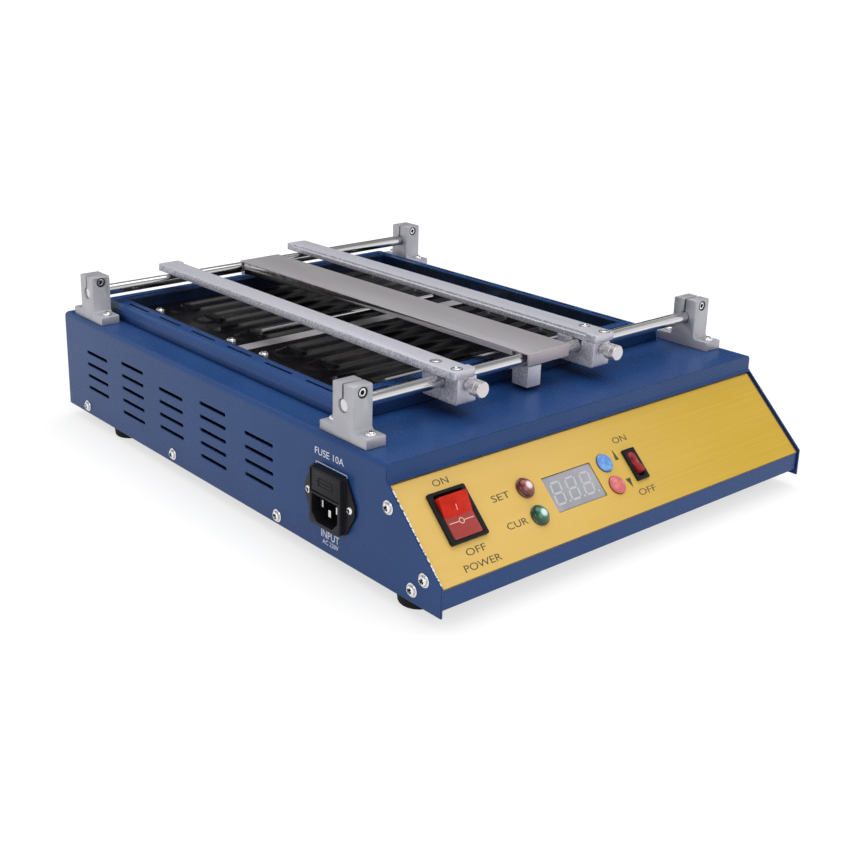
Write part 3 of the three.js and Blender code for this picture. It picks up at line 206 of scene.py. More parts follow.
def soft_edges_group():
    """Rounds the shading of edges, and gives a mask along them, broken in patches, which the
    materials use for worn edges, painted edge highlights and painted fold shade.
    """
    tree, entry, leave = new_group(
        "soft_edges",
        "ShaderNodeTree",
        {"Radius": (FLOAT, 0.6 * MM), "Edge Wear And Light": (FLOAT, 0.5)},
        {"Mask": FLOAT, "Normal": VECTOR},
    )
    bevel = add_node(tree, "ShaderNodeBevel", {"Radius": entry["Radius"]})
    bevel.samples = 6
    rounded = bevel.outputs["Normal"]
    across = vector_math(tree, "DOT_PRODUCT", rounded, surface_normal(tree), output="Value")
    turned_away = map_range(tree, across, 0.98, 0.8)
    patches = map_range(tree, noise_texture(tree, object_place(tree), 160, 4), 0.42, 0.66)
    mask = product(tree, turned_away, patches, entry["Edge Wear And Light"])
    connect(tree, leave, {"Mask": mask, "Normal": rounded})
    return tree


def settled_dust_group():
    """Faint dust on what faces up."""
    tree, entry, leave = new_group(
        "settled_dust", "ShaderNodeTree", {"Amount": (FLOAT, 0.1)}, {"Mask": FLOAT}
    )
    upward = map_range(tree, parts_of(tree, surface_normal(tree))["Z"], 0.6, 1)
    drifts = map_range(tree, noise_texture(tree, object_place(tree), 55, 8, 0.7), 0.45, 0.75)
    connect(tree, leave, {"Mask": product(tree, upward, drifts, entry["Amount"])})
    return tree


GRAIN = stretched_noise_group("fine_grain", 3, 0.55)
STREAKS = stretched_noise_group("brushed_streaks", 5, 0.65)
MOTTLE = stretched_noise_group("slow_mottle", 2, 0.5)
EDGES = soft_edges_group()
DUST = settled_dust_group()


# ---------------------------------------------------------------- materials


class Finish:
    """A material under construction: its tree, its Principled BSDF and the nodes that feed it."""

    def __init__(self, name, colour, roughness, metallic=0.0, **sockets):
        self.material = bpy.data.materials.new(name)
        self.material.use_nodes = True
        self.material.diffuse_color = (*colour, 1)
        self.tree = self.material.node_tree
        self.bsdf = self.tree.nodes["Principled BSDF"]
        self.colour = (*colour, 1)
        self.normal = None
        values = {"Base Color": self.colour, "Roughness": roughness, "Metallic": metallic}
        values.update({name.replace("_", " "): value for name, value in sockets.items()})
        connect(self.tree, self.bsdf, values)

    def group(self, tree, inputs):
        node = self.tree.nodes.new("ShaderNodeGroup")
        node.node_tree = tree
        connect(self.tree, node, inputs)
        return node.outputs

    def noise(self, tree, per_metre, low=0.35, high=0.65):
        """A mask from a noise group; its fineness is one number, or one each for X, Y and Z."""
        if not isinstance(per_metre, tuple):
            per_metre = (per_metre,) * 3
        return self.group(tree, {"Per Metre": per_metre, "Low": low, "High": high})["Mask"]

    def tint(self, mask, colour, share=1):
        """Mixes a further colour over the base where the mask, times its share, is 1."""
        if share != 1:
            mask = product(self.tree, mask, share)
        mix = self.tree.nodes.new("ShaderNodeMix")
        mix.data_type = "RGBA"
        before, after = (i for i, s in enumerate(mix.inputs) if s.type == "RGBA")
        connect(self.tree, mix, {0: mask, before: self.colour, after: (*colour, 1)})
        self.colour = next(s for s in mix.outputs if s.type == "RGBA")
        connect(self.tree, self.bsdf, {"Base Color": self.colour})

    def roughen(self, mask, smooth, rough):
        roughness = map_range(self.tree, mask, 0, 1, smooth, rough, "LINEAR")
        connect(self.tree, self.bsdf, {"Roughness": roughness})

    def hollows(self, reach, shut, free, alone=True):
        """1 deep in corners, slots and recesses, 0 out in the open: ambient occlusion, which the
        materials use to paint shade.
        """
        shade = add_node(self.tree, "ShaderNodeAmbientOcclusion", {"Distance": reach})
        shade.samples = 16
        shade.only_local = alone
        return map_range(self.tree, shade.outputs["AO"], shut, free, 1, 0)

    def along(self, direction, start, end):
        """0 to 1 along a direction of the model, between two distances from its origin."""
        place = object_place(self.tree)
        reach = vector_math(self.tree, "DOT_PRODUCT", place, direction, output="Value")
        return map_range(self.tree, reach, start, end)

    def near(self, point, inner, outer):
        """1 within one distance of a point of the model, 0 past another."""
        place = object_place(self.tree)
        reach = vector_math(self.tree, "DISTANCE", place, point, output="Value")
        return map_range(self.tree, reach, inner, outer, 1, 0)

    def facing(self, axis, low, high):
        """1 where the surface faces along X, Y or Z, either way."""
        size = vector_math(self.tree, "ABSOLUTE", surface_normal(self.tree))
        return map_range(self.tree, parts_of(self.tree, size)[axis], low, high)

    def soften(self, radius, edge_wear_and_light=0.0):
        """Rounded edges in the shading; gives back the edge mask, which marks worn edges and is
        used for painted edge highlights and painted fold shade.
        """
        edges = self.group(EDGES, {"Radius": radius, "Edge Wear And Light": edge_wear_and_light})
        self.normal = edges["Normal"]
        connect(self.tree, self.bsdf, {"Normal": self.normal})
        return edges["Mask"]

    def bump(self, mask, height, strength):
        values = {"Height": mask, "Distance": height, "Strength": strength}
        node = add_node(self.tree, "ShaderNodeBump", values)
        if self.normal is not None:
            connect(self.tree, node, {"Normal": self.normal})
        self.normal = node.outputs["Normal"]
        connect(self.tree, self.bsdf, {"Normal": self.normal})


def blue_powder_coat(name="blue_coat", walls_stained_and_shaded=False):
    """Satin powder coat, with painted shade in its corners and along its folds; on the window's
    walls, painted shade broken up like a heat stain.
    """
    coat = Finish(name, (0.011, 0.048, 0.172), 0.3, Specular_IOR_Level=0.22)
    shaded_folds = coat.soften(0.9 * MM, 0.9)
    coat.tint(coat.noise(MOTTLE, 14), (0.014, 0.056, 0.188))
    # Painted shade on the window's upright walls, broken up like a heat stain
    if walls_stained_and_shaded:
        coat.tint(window_walls(coat.tree), (0.006, 0.012, 0.022))
    coat.tint(coat.group(DUST, {"Amount": 0.06})["Mask"], (0.06, 0.1, 0.21))
    # Painted shade in corners and under parts, from ambient occlusion
    corners = coat.hollows(26 * MM, 0.25, 0.72, alone=False)
    coat.tint(corners, (0.002, 0.012, 0.055), 0.85)
    # Painted shade along folds and edges
    coat.tint(shaded_folds, (0.003, 0.013, 0.05), 3)
    grain = coat.noise(GRAIN, 900)
    coat.roughen(grain, 0.24, 0.38)
    coat.bump(grain, 0.012 * MM, 0.5)
    return coat.material


def window_walls(tree):
    """1 on the upright walls round the heater window, broken up like a heat stain: the mask of
    these walls' painted shade and stain.
    """
    low, high, middle = box_of("heater_tray")
    reach = (high - low) / 2
    place = object_place(tree)
    offset = vector_math(tree, "SUBTRACT", place, middle)
    away = parts_of(tree, vector_math(tree, "ABSOLUTE", offset))
    across = map_range(tree, away["X"], reach.x + 0.9 * MM, reach.x + 1.8 * MM, 1, 0)
    along = map_range(tree, away["Y"], reach.y + 0.9 * MM, reach.y + 1.8 * MM, 1, 0)
    # Patches of heat stain break up the painted shade
    stain = map_range(tree, noise_texture(tree, place, 90, 5), 0.3, 0.55, 0.75, 1)
    return product(tree, across, along, stain)


def brushed_yellow_plate():
    """Brushed and lacquered yellow, paler towards its left end in a painted gradient of light."""
    plate = Finish("yellow_plate", (0.56, 0.345, 0.014), 0.4, 0.2, Specular_IOR_Level=0.3)
    streaks = plate.noise(STREAKS, (9, 1400, 1400), 0.3, 0.7)
    # Painted light: paler towards the left end
    plate.tint(plate.along((-1, 0, 0), -140 * MM, 120 * MM), (0.76, 0.505, 0.15))
    plate.tint(plate.noise(MOTTLE, (11, 30, 30)), (0.6, 0.38, 0.04), 0.25)
    plate.tint(streaks, (0.8, 0.56, 0.14), 0.3)
    plate.roughen(streaks, 0.32, 0.46)
    plate.bump(streaks, 0.008 * MM, 0.6)
    return plate.material


def brushed_stainless():
    """Brushed sheet, hazy with use; its turned-down ends are streaked brown; its edges and folds
    are worn and carry a painted highlight.
    """
    steel = Finish("bright_steel", (0.42, 0.4, 0.425), 0.45, 0.5)
    worn_and_lit_edges = steel.soften(0.4 * MM, 0.9)
    streaks = steel.noise(STREAKS, (1500, 12, 1500), 0.3, 0.7)
    steel.tint(streaks, (0.49, 0.47, 0.5))
    steel.tint(steel.noise(MOTTLE, (30, 12, 30), 0.45, 0.7), (0.43, 0.405, 0.425))
    stain = steel.noise(STREAKS, (420, 420, 40), 0.3, 0.65)
    steel.tint(product(steel.tree, steel.facing("Y", 0.5, 0.9), stain), (0.47, 0.41, 0.425))
    # Painted highlight along worn edges and folds
    steel.tint(worn_and_lit_edges, (0.92, 0.91, 0.92), 3)
    steel.roughen(streaks, 0.38, 0.52)
    steel.bump(streaks, 0.006 * MM, 0.6)
    return steel.material


def polished_chrome():
    chrome = Finish("chrome", (0.67, 0.665, 0.675), 0.12, 1.0)
    lapping = chrome.noise(STREAKS, (40, 900, 900), 0.3, 0.7)
    chrome.tint(lapping, (0.59, 0.585, 0.595))
    chrome.roughen(lapping, 0.08, 0.2)
    return chrome.material


def dull_nickel():
    """The thumb screws: plated, a little hazy and lavender, with painted shade down in their
    recesses.
    """
    nickel = Finish("dull_nickel", (0.6, 0.575, 0.6), 0.3, 0.75)
    haze = nickel.noise(MOTTLE, 240)
    nickel.tint(haze, (0.68, 0.645, 0.665))
    # Painted shade down in the recesses
    nickel.tint(nickel.hollows(1.2 * MM, 0.35, 0.8), (0.05, 0.05, 0.055))
    nickel.roughen(haze, 0.22, 0.36)
    return nickel.material


def screw_steel():
    """Plated screws, with painted shade down in their recesses."""
    steel = Finish("screw_steel", (0.8, 0.79, 0.8), 0.2, 1.0)
    # Painted shade down in the recesses
    steel.tint(steel.hollows(2 * MM, 0.5, 0.95), (0.02, 0.02, 0.025))
    steel.roughen(steel.noise(GRAIN, 700), 0.14, 0.3)
    return steel.material


def satin_aluminium():
    """Blasted castings, with painted shade down in their bores and slots, and a painted highlight
    on their worn edges.
    """
    metal = Finish("satin_aluminium", (0.46, 0.46, 0.495), 0.48, 0.5)
    worn_and_lit_edges = metal.soften(0.35 * MM, 0.7)
    metal.tint(metal.noise(MOTTLE, 70), (0.41, 0.41, 0.445))
    # Painted shade down in bores and slots
    metal.tint(metal.hollows(2.2 * MM, 0.3, 0.7), (0.03, 0.03, 0.035))
    # Painted highlight on worn edges
    metal.tint(worn_and_lit_edges, (0.78, 0.78, 0.8))
    blasted = metal.noise(GRAIN, 1800)
    metal.roughen(blasted, 0.42, 0.56)
    metal.bump(blasted, 0.02 * MM, 0.5)
    return metal.material


def sawn_aluminium():
    """Drawn bar: its top and ends are smooth, its left and right sides are sawn and rough."""
    metal = Finish("sawn_aluminium", (0.64, 0.635, 0.71), 0.45, 0.35)
    worn_and_lit_edges = metal.soften(0.35 * MM, 0.8)
    pits = metal.noise(GRAIN, 1000, 0.42, 0.6)
    pitted = product(metal.tree, pits, metal.facing("X", 0.5, 0.8))
    drawn = metal.noise(STREAKS, (900, 10, 900), 0.3, 0.7)
    metal.tint(drawn, (0.57, 0.565, 0.635))
    metal.tint(metal.noise(GRAIN, 1100, 0.56, 0.66), (0.45, 0.45, 0.5))
    metal.tint(pitted, (0.33, 0.33, 0.365))
    # Painted highlight on worn edges
    metal.tint(worn_and_lit_edges, (0.88, 0.88, 0.92))
    metal.roughen(pitted, 0.42, 0.62)
    metal.bump(drawn, 0.008 * MM, 0.6)
    metal.bump(pitted, 0.08 * MM, 0.8)
    return metal.material


def glossy_black_enamel():
    """Stove enamel: black and glossy, with a slow wave from the firing, browned a little."""
    enamel = Finish("black_enamel", (0.003, 0.0025, 0.004), 0.22, Specular_IOR_Level=0.3)
    peel = enamel.noise(GRAIN, 420)
    enamel.tint(enamel.noise(MOTTLE, (16, 22, 16), 0.5, 0.7), (0.009, 0.006, 0.007))
    enamel.roughen(peel, 0.18, 0.26)
    enamel.bump(enamel.noise(MOTTLE, 30, 0.3, 0.7), 0.12 * MM, 0.5)
    enamel.bump(peel, 0.008 * MM, 0.4)
    return enamel.material


def dull_rubber():
    rubber = Finish("black_rubber", (0.01, 0.01, 0.012), 0.75, Specular_IOR_Level=0.15)
    grain = rubber.noise(GRAIN, 700)
    rubber.tint(grain, (0.015, 0.015, 0.017))
    rubber.roughen(grain, 0.68, 0.86)
    rubber.bump(grain, 0.05 * MM, 0.6)
    return rubber.material


def moulded_black_plastic():
    plastic = Finish("black_plastic", (0.007, 0.0065, 0.009), 0.42, Specular_IOR_Level=0.18)
    worn_and_lit_edges = plastic.soften(0.4 * MM, 0.35)
    spark = plastic.noise(GRAIN, 1600)
    plastic.tint(spark, (0.011, 0.01, 0.014))
    # Painted highlight on worn edges
    plastic.tint(worn_and_lit_edges, (0.035, 0.035, 0.042))
    plastic.roughen(spark, 0.36, 0.52)
    plastic.bump(spark, 0.02 * MM, 0.5)
    return plastic.material


def clear_red_plastic(name, low, high, pressed, crease):
    """Tinted clear plastic: deep in colour where it is thick, pale on the pressed half."""
    plastic = Finish(name, low, 0.2, Specular_IOR_Level=0.2)
    plastic.soften(0.4 * MM)
    depth = plastic.noise(MOTTLE, 130, 0.3, 0.7)
    plastic.tint(depth, high)
    top = (SLOPE @ Vector((0, crease + 0.4 * MM, 0))).dot(UP_SLOPE)
    lower_half = plastic.along(-UP_SLOPE, -top, -top + 0.8 * MM)
    plastic.tint(lower_half, pressed)
    ribs = plastic.noise(STREAKS, (60, 900, 900))
    plastic.tint(product(plastic.tree, ribs, lower_half), low, 0.5)
    plastic.roughen(plastic.noise(GRAIN, 500), 0.14, 0.28)
    plastic.bump(depth, 0.12 * MM, 0.5)
    return plastic.material


def lens_plastic(name, deep, ring, glint, place):
    """A small domed lens: dark at its rim, with a painted lighter middle and a painted pale glint
    standing in for the light in its dome.
    """
    lens = Finish(name, deep, 0.08, Coat_Weight=0.6, Coat_Roughness=0.04, Specular_IOR_Level=0.35)
    x, s = place
    crown = SLOPE @ Vector((x, s, LAMP_HEIGHT))
    spark = SLOPE @ Vector((x + 0.5 * MM, s + 0.2 * MM, LAMP_HEIGHT))
    bubbles = lens.noise(MOTTLE, 500)
    inner = lens.near(crown, 2.2 * MM, 5.4 * MM)
    # Painted light: a lighter middle inside the dark rim
    lens.tint(inner, ring)
    lens.tint(product(lens.tree, bubbles, inner), deep, 0.5)
    # Painted highlight: a pale glint in the middle
    lens.tint(lens.near(spark, 1.2 * MM, 3.2 * MM), glint)
    lens.roughen(bubbles, 0.06, 0.14)
    lens.bump(bubbles, 0.1 * MM, 0.3)
    return lens.material


def cap_plastic(name, colour, painted_glint, rim):
    """A button cap with painted dull glints in patches on its face, and painted shade down its
    side and where it meets the label.
    """
    cap = Finish(name, colour, 0.3, Specular_IOR_Level=0.4)
    cap.soften(0.3 * MM)
    swirl = cap.noise(MOTTLE, 260, 0.45, 0.65)
    # Painted dull glints in patches
    cap.tint(swirl, painted_glint)
    # Painted shade down the side and at the foot
    cap.tint(cap.hollows(2.5 * MM, 0.55, 0.92, alone=False), rim)
    cap.roughen(cap.noise(GRAIN, 1500), 0.24, 0.4)
    cap.bump(swirl, 0.08 * MM, 0.5)
    return cap.material


def display_filter():
    window = Finish("display_grey", (0.3, 0.3, 0.335), 0.3, Coat_Weight=0.2, Coat_Roughness=0.12)
    window.tint(window.noise(MOTTLE, 60), (0.37, 0.37, 0.4))
    # Painted shade near the window's edges, from ambient occlusion
    window.tint(window.hollows(1.8 * MM, 0.45, 0.9, alone=False), (0.06, 0.06, 0.075))
    window.roughen(window.noise(GRAIN, 2200), 0.26, 0.38)
    return window.material


def solder_mask():
    board = Finish("circuit_board", (0.02, 0.11, 0.045), 0.35, Coat_Weight=0.3)
    tracks = board.tree.nodes.new("ShaderNodeTexVoronoi")
    tracks.feature = "DISTANCE_TO_EDGE"
    connect(board.tree, tracks, {"Vector": object_place(board.tree), "Scale": 260})
    copper = map_range(board.tree, tracks.outputs["Distance"], 0.05, 0.09, 1, 0)
    board.tint(copper, (0.045, 0.2, 0.08))
    board.roughen(copper, 0.3, 0.42)
    board.bump(copper, 0.04 * MM, 0.5)
    return board.material


def mineral_board():
    fibre = Finish("ceramic_fibre", (0.6, 0.55, 0.44), 0.9)
    strands = fibre.noise(STREAKS, (260, 60, 260), 0.3, 0.7)
    fibre.tint(strands, (0.68, 0.64, 0.54))
    fibre.roughen(strands, 0.82, 0.96)
    fibre.bump(strands, 0.2 * MM, 0.6)
    return fibre.material


def fuse_glass():
    glass = Finish("fuse_glass", (0.9, 0.93, 0.93), 0.05, IOR=1.5, Transmission_Weight=0.9)
    glass.roughen(glass.noise(MOTTLE, 300), 0.03, 0.12)
    return glass.material


def printing_ink(name, colour, thin):
    """Screen-printed ink, a little thinner in places; also the flat dark paint of painted
    shadows.
    """
    ink = Finish(name, colour, 0.5)
    cover = ink.noise(MOTTLE, 700, 0.5, 0.8)
    ink.tint(cover, thin)
    ink.roughen(cover, 0.42, 0.6)
    return ink.material


SLOT_OF = {
    name: node.material_slots[0].material.name for name, node in frame["nodes"].items()
}
FINISHES = {
    "blue_coat": blue_powder_coat(),
    "yellow_plate": brushed_yellow_plate(),
    "bright_steel": brushed_stainless(),
    "chrome": polished_chrome(),
    "satin_aluminium": satin_aluminium(),
    "black_enamel": glossy_black_enamel(),
    "black_rubber": dull_rubber(),
    "black_plastic": moulded_black_plastic(),
    "red_rocker": clear_red_plastic(
        "red_rocker", (0.46, 0.01, 0.002), (0.6, 0.022, 0.005), (0.3, 0.066, 0.062), POWER_CREASE
    ),
    "red_lens": lens_plastic(
        "red_lens", (0.09, 0.008, 0.01), (0.34, 0.06, 0.06), (0.85, 0.72, 0.72), RED_LAMP
    ),
    "green_lens": lens_plastic(
        "green_lens", (0.003, 0.045, 0.02), (0.02, 0.2, 0.09), (0.62, 0.82, 0.76), GREEN_LAMP
    ),
    "blue_cap": cap_plastic("blue_cap", (0.1, 0.27, 0.66), (0.2, 0.4, 0.76), (0.03, 0.09, 0.28)),
    "coral_cap": cap_plastic(
        "coral_cap", (0.6, 0.13, 0.14), (0.72, 0.22, 0.22), (0.3, 0.04, 0.03)
    ),
    "display_grey": display_filter(),
    "circuit_board": solder_mask(),
    "ceramic_fibre": mineral_board(),
    "fuse_glass": fuse_glass(),
}
SAWN = sawn_aluminium()
NICKEL = dull_nickel()
DARK_RED = clear_red_plastic(
    "dark_red_rocker", (0.11, 0.003, 0.005), (0.4, 0.05, 0.055), (0.3, 0.02, 0.025), HEAT_CREASE
)
SCREWS = screw_steel()
# The heater frame's coat, with painted shade and a heat stain on the window's walls
STAINED_AND_SHADED_COAT = blue_powder_coat("blue_coat_stained_and_shaded", walls_stained_and_shaded=True)
# Brown-black print, also used for the painted shadow round the label
BLACK_INK_AND_SHADOW = printing_ink("label_ink_and_shadow", (0.07, 0.05, 0.035), (0.13, 0.09, 0.05))
# Not ink: the near-black of painted shadow rings round sunk screws
SHADOW = printing_ink("deep_shadow", (0.012, 0.012, 0.014), (0.02, 0.02, 0.024))
WHITE_INK = printing_ink("side_ink", (0.75, 0.78, 0.85), (0.5, 0.56, 0.68))
PALE_MARK = printing_ink("rocker_mark", (0.8, 0.42, 0.36), (0.72, 0.3, 0.25))
SEGMENT = printing_ink("display_segment", (0.5, 0.5, 0.54), (0.44, 0.44, 0.48))


def dress_frame():
    """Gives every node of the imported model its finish."""
    for name, node in frame["nodes"].items():
        for slot in node.material_slots:
            slot.material = FINISHES[SLOT_OF[name]]
    frame["nodes"]["heater_frame"].material_slots[0].material = STAINED_AND_SHADED_COAT


# ---------------------------------------------------------------- mesh helpers


def loose_object(name, mesh):
    thing = bpy.data.objects.new(name, mesh)
    scene.collection.objects.link(thing)
    return thing


def piece(name, mesh, body, slot, material=None, replaces=()):
    """Puts a finished mesh in the scene, on its body."""
    thing = loose_object(name, mesh)
    mesh.materials.clear()
    mesh.materials.append(material or FINISHES[slot])
    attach(thing, body)
    if replaces:
        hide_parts(*replaces)


def finished(bm, name, place=None, sharp_degrees=35):
    """A bmesh as a mesh in its place, smooth but for its sharp edges."""
    if place is not None:
        bmesh.ops.transform(bm, matrix=place, verts=bm.verts)
    bmesh.ops.recalc_face_normals(bm, faces=bm.faces)
    mesh = bpy.data.meshes.new(name)
    bm.to_mesh(mesh)
    bm.free()
    mesh.shade_smooth()
    mesh.set_sharp_from_angle(angle=math.radians(sharp_degrees))
    return mesh


def evaluated_mesh(thing):
    graph = bpy.context.evaluated_depsgraph_get()
    return bpy.data.meshes.new_from_object(thing.evaluated_get(graph))


def baked(thing):
    """The evaluated mesh of an object, which is then removed."""
    mesh = evaluated_mesh(thing)
    bpy.data.objects.remove(thing)
    return mesh


def on_circle(radius, turn, x=0, y=0):
    return (x + radius * math.cos(turn), y + radius * math.sin(turn))


def turned(name, profile, steps, place=None, wave=None, sharp_degrees=35):
    """A turned solid about Z: radius and height from its lower end to its upper."""
    bm = bmesh.new()
    rings = []
    for radius, height in profile:
        ring = []
        for i in range(1 if radius == 0 else steps):
            reach = radius + (wave(i, radius, height) if wave else 0)
            ring.append(bm.verts.new((*on_circle(reach, 2 * math.pi * i / steps), height)))
        rings.append(ring)
    for low, high in zip(rings, rings[1:]):
        for i in range(steps):
            j = (i + 1) % steps
            corners = (
                low[i % len(low)], low[j % len(low)], high[j % len(high)], high[i % len(high)],
            )
            unique = list(dict.fromkeys(corners))
            if len(unique) > 2:
                bm.faces.new(unique)
    return finished(bm, name, place, sharp_degrees)


def add_slab(bm, outline, low, high, upper_outline=None):
    """Adds an upright prism on an outline in X and Y, or a taper between two."""
    bottom = [bm.verts.new((x, y, low)) for x, y in outline]
    top = [bm.verts.new((x, y, high)) for x, y in upper_outline or outline]
    bm.faces.new(bottom[::-1])
    bm.faces.new(top)
    for i in range(len(outline)):
        j = (i + 1) % len(outline)
        bm.faces.new((bottom[i], bottom[j], top[j], top[i]))
    return bottom + top


def rectangle(x, y, width, height):
    half_width, half_height = width / 2, height / 2
    return [
        (x - half_width, y - half_height),
        (x + half_width, y - half_height),
        (x + half_width, y + half_height),
        (x - half_width, y + half_height),
    ]


def add_bars(bm, bars, low, high, x=0, y=0):
    """Adds slabs on rectangles: middle, width and height in millimetres, from X, Y in metres."""
    for across, up, width, height in bars:
        outline = rectangle(x + across * MM, y + up * MM, width * MM, height * MM)
        add_slab(bm, outline, low, high)


def add_ring(bm, inner, outer, low, high, steps, y=0, place=None):
    """Adds a flat ring round Z, or round a point on Y, in short slabs that join up."""
    added = []
    for i in range(steps):
        corners = [
            on_circle(radius, 2 * math.pi * j / steps, 0, y)
            for j, radius in ((i, inner), (i + 1, inner), (i + 1, outer), (i, outer))
        ]
        added += add_slab(bm, corners, low, high)
    if place is not None:
        bmesh.ops.transform(bm, matrix=place, verts=added)
    bmesh.ops.remove_doubles(bm, verts=added, dist=0.001 * MM)


def softened(node, width, segments=2, material=None):
    """A CAD node's shape with its edges rounded; it stands in for the node."""
    source = frame["nodes"][node]
    name = node + "_rounded"
    bm = bmesh.new()
    bm.from_mesh(source.data)
    bmesh.ops.remove_doubles(bm, verts=bm.verts, dist=0.002 * MM)
    bmesh.ops.dissolve_limit(
        bm, angle_limit=math.radians(1), verts=bm.verts, edges=bm.edges, delimit={"NORMAL"}
    )
    mesh = bpy.data.meshes.new(name)
    bm.to_mesh(mesh)
    bm.free()
    mesh.shade_smooth()
    thing = loose_object(name, mesh)
    edge = thing.modifiers.new("edge", "BEVEL")
    edge.width = width
    edge.segments = segments
    edge.limit_method = "ANGLE"
    edge.angle_limit = math.radians(32)
    edge.harden_normals = True
    piece(name, baked(thing), source["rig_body"], SLOT_OF[node], material, replaces=(node,))


# ---------------------------------------------------------------- screws

# A screw starts a little under the face that it sits on
SCREW_SUNK = -0.3 * MM
# Kinds of screw: head radius, head height and washer radius, in millimetres
SCREW_KINDS = {
    "broad": (3.0, 2.3, 4.1),
    "pan": (3.3, 2.4, 0),
    "small": (2.4, 1.5, 0),
    "flush": (2.9, 0.8, 0),
}


def cross_screw(name, head_radius, head_height, washer):
    """A pan head with a cross recess, standing on Z = 0, as a loose prototype."""
    brim = 0.18 * head_height
    profile = [(0, SCREW_SUNK)]
    if washer:
        profile += [
            (washer - 0.15 * MM, SCREW_SUNK),
            (washer, 0),
            (washer, 0.35 * MM),
            (washer - 0.25 * MM, 0.6 * MM),
            (head_radius + 0.2 * MM, 0.65 * MM),
        ]
        brim += 0.6 * MM
    profile.append((head_radius, brim - 0.2 * MM if washer else SCREW_SUNK))
    dome = head_height - brim
    for step in range(9):
        turn = QUARTER * step / 9
        profile.append((head_radius * math.cos(turn) ** 0.6, brim + dome * math.sin(turn)))
    profile.append((0, head_height))
    screw = loose_object(name, turned(name, profile, 32, sharp_degrees=40))
    for turn in (0, QUARTER):
        wedge = bmesh.new()
        add_slab(
            wedge,
            rectangle(0, 0, 0.36 * head_radius, 0.36 * head_radius),
            0.15 * head_height,
            head_height + 0.5 * MM,
            rectangle(0, 0, 1.5 * head_radius, 0.66 * head_radius),
        )
        cutter = loose_object("recess", finished(wedge, "recess", Matrix.Rotation(turn, 4, "Z")))
        recess = screw.modifiers.new("recess", "BOOLEAN")
        recess.operation = "DIFFERENCE"
        recess.solver = "EXACT"
        recess.object = cutter
        mesh = evaluated_mesh(screw)
        screw.modifiers.clear()
        screw.data = mesh
        bpy.data.objects.remove(cutter)
    mesh.shade_smooth()
    mesh.set_sharp_from_angle(angle=math.radians(35))
    return screw


def coat_and_leave(tree, geometry, finish, leave):
    """Realizes the instances, gives them their material and sends them out."""
    real = add_node(tree, "GeometryNodeRealizeInstances", {"Geometry": geometry})
    values = {"Geometry": real.outputs["Geometry"], "Material": finish}
    coated = add_node(tree, "GeometryNodeSetMaterial", values)
    connect(tree, leave, {0: coated.outputs["Geometry"]})


def screw_layout_tree():
    """Sets a screw on every point, facing as the point says and turned at random."""
    inputs = {
        "Places": (GEOMETRY, None),
        "Screw": (OBJECT, None),
        "Finish": (MATERIAL, None),
        "Seed": (INTEGER, 1),
    }
    tree, entry, leave = new_group(
        "screws_on_places", "GeometryNodeTree", inputs, {"Screws": GEOMETRY}
    )
    nodes = tree.nodes
    prototype = add_node(tree, "GeometryNodeObjectInfo", {"Object": entry["Screw"]})
    facing = add_node(tree, "GeometryNodeInputNamedAttribute", {"Name": "facing"})
    facing.data_type = "FLOAT_VECTOR"
    way = socket_of(facing.outputs, "Attribute")
    aimed = nodes.new("FunctionNodeAlignRotationToVector")
    aimed.axis = "Z"
    connect(tree, aimed, {"Vector": way})
    chance = nodes.new("FunctionNodeRandomValue")
    chance.data_type = "FLOAT"
    socket_of(chance.inputs, "Max").default_value = math.pi
    tree.links.new(entry["Seed"], socket_of(chance.inputs, "Seed"))
    angle = socket_of(chance.outputs, "Value")
    spin = add_node(
        tree, "FunctionNodeAxisAngleToRotation", {"Axis": (0, 0, 1), "Angle": angle}
    )
    turned_screw = nodes.new("FunctionNodeRotateRotation")
    turned_screw.rotation_space = "LOCAL"
    turns = {"Rotation": aimed.outputs["Rotation"], "Rotate By": spin.outputs["Rotation"]}
    connect(tree, turned_screw, turns)
    placed = add_node(
        tree,
        "GeometryNodeInstanceOnPoints",
        {
            "Points": entry["Places"],
            "Instance": prototype.outputs["Geometry"],
            "Rotation": turned_screw.outputs["Rotation"],
        },
    )
    coat_and_leave(tree, placed.outputs["Instances"], entry["Finish"], leave)
    return tree


def laid_out(thing, tree, values):
    """The mesh that a Geometry Nodes tree makes of an object; inputs go by identifier."""
    modifier = thing.modifiers.new("layout", "NODES")
    modifier.node_group = tree
    for item in tree.interface.items_tree:
        if item.in_out == "INPUT" and item.name in values:
            modifier[item.identifier] = values[item.name]
    return baked(thing)


SCREW_LAYOUT = screw_layout_tree()


def screws(name, prototype, places, body, seed):
    """Screws at places, each a point and the way that its head faces, in metres."""
    mesh = bpy.data.meshes.new(name)
    mesh.from_pydata([point for point, _ in places], [], [])
    facing = mesh.attributes.new("facing", "FLOAT_VECTOR", "POINT")
    for item, (_, way) in zip(facing.data, places):
        item.vector = way
    values = {"Screw": prototype, "Finish": SCREWS, "Seed": seed}
    mesh = laid_out(loose_object(name + "_places", mesh), SCREW_LAYOUT, values)
    piece(name, mesh, body, "chrome", SCREWS)


# Where the cover's screws sit on its sides, from the front: Y and Z
COVER_SCREWS = [
    (-196.4, 25.0),
    (-187.1, 15.5),
    (-166.4, 55.9),
    (-63.3, 13.4),
    (58.2, 14.2),
    (180.5, 13.6),
]
# Where the screws sit on the clamp bars: X and Y
BAR_SCREWS = {
    "left": [(-80.2, -113.3), (-80.2, -131.4)],
    "right": [(46.7, -115.4), (46.7, -131.9)],
}
# How far a support's foot reaches in front of its column, and how thick it is
SUPPORT_SHOULDER = 12 * MM
SUPPORT_FOOT = 6 * MM
# The heater plates' sheet
PLATE_SHEET = 1.5 * MM
# How far in from the inlet's outer end the face of its ears lies
INLET_EARS = 3.5 * MM


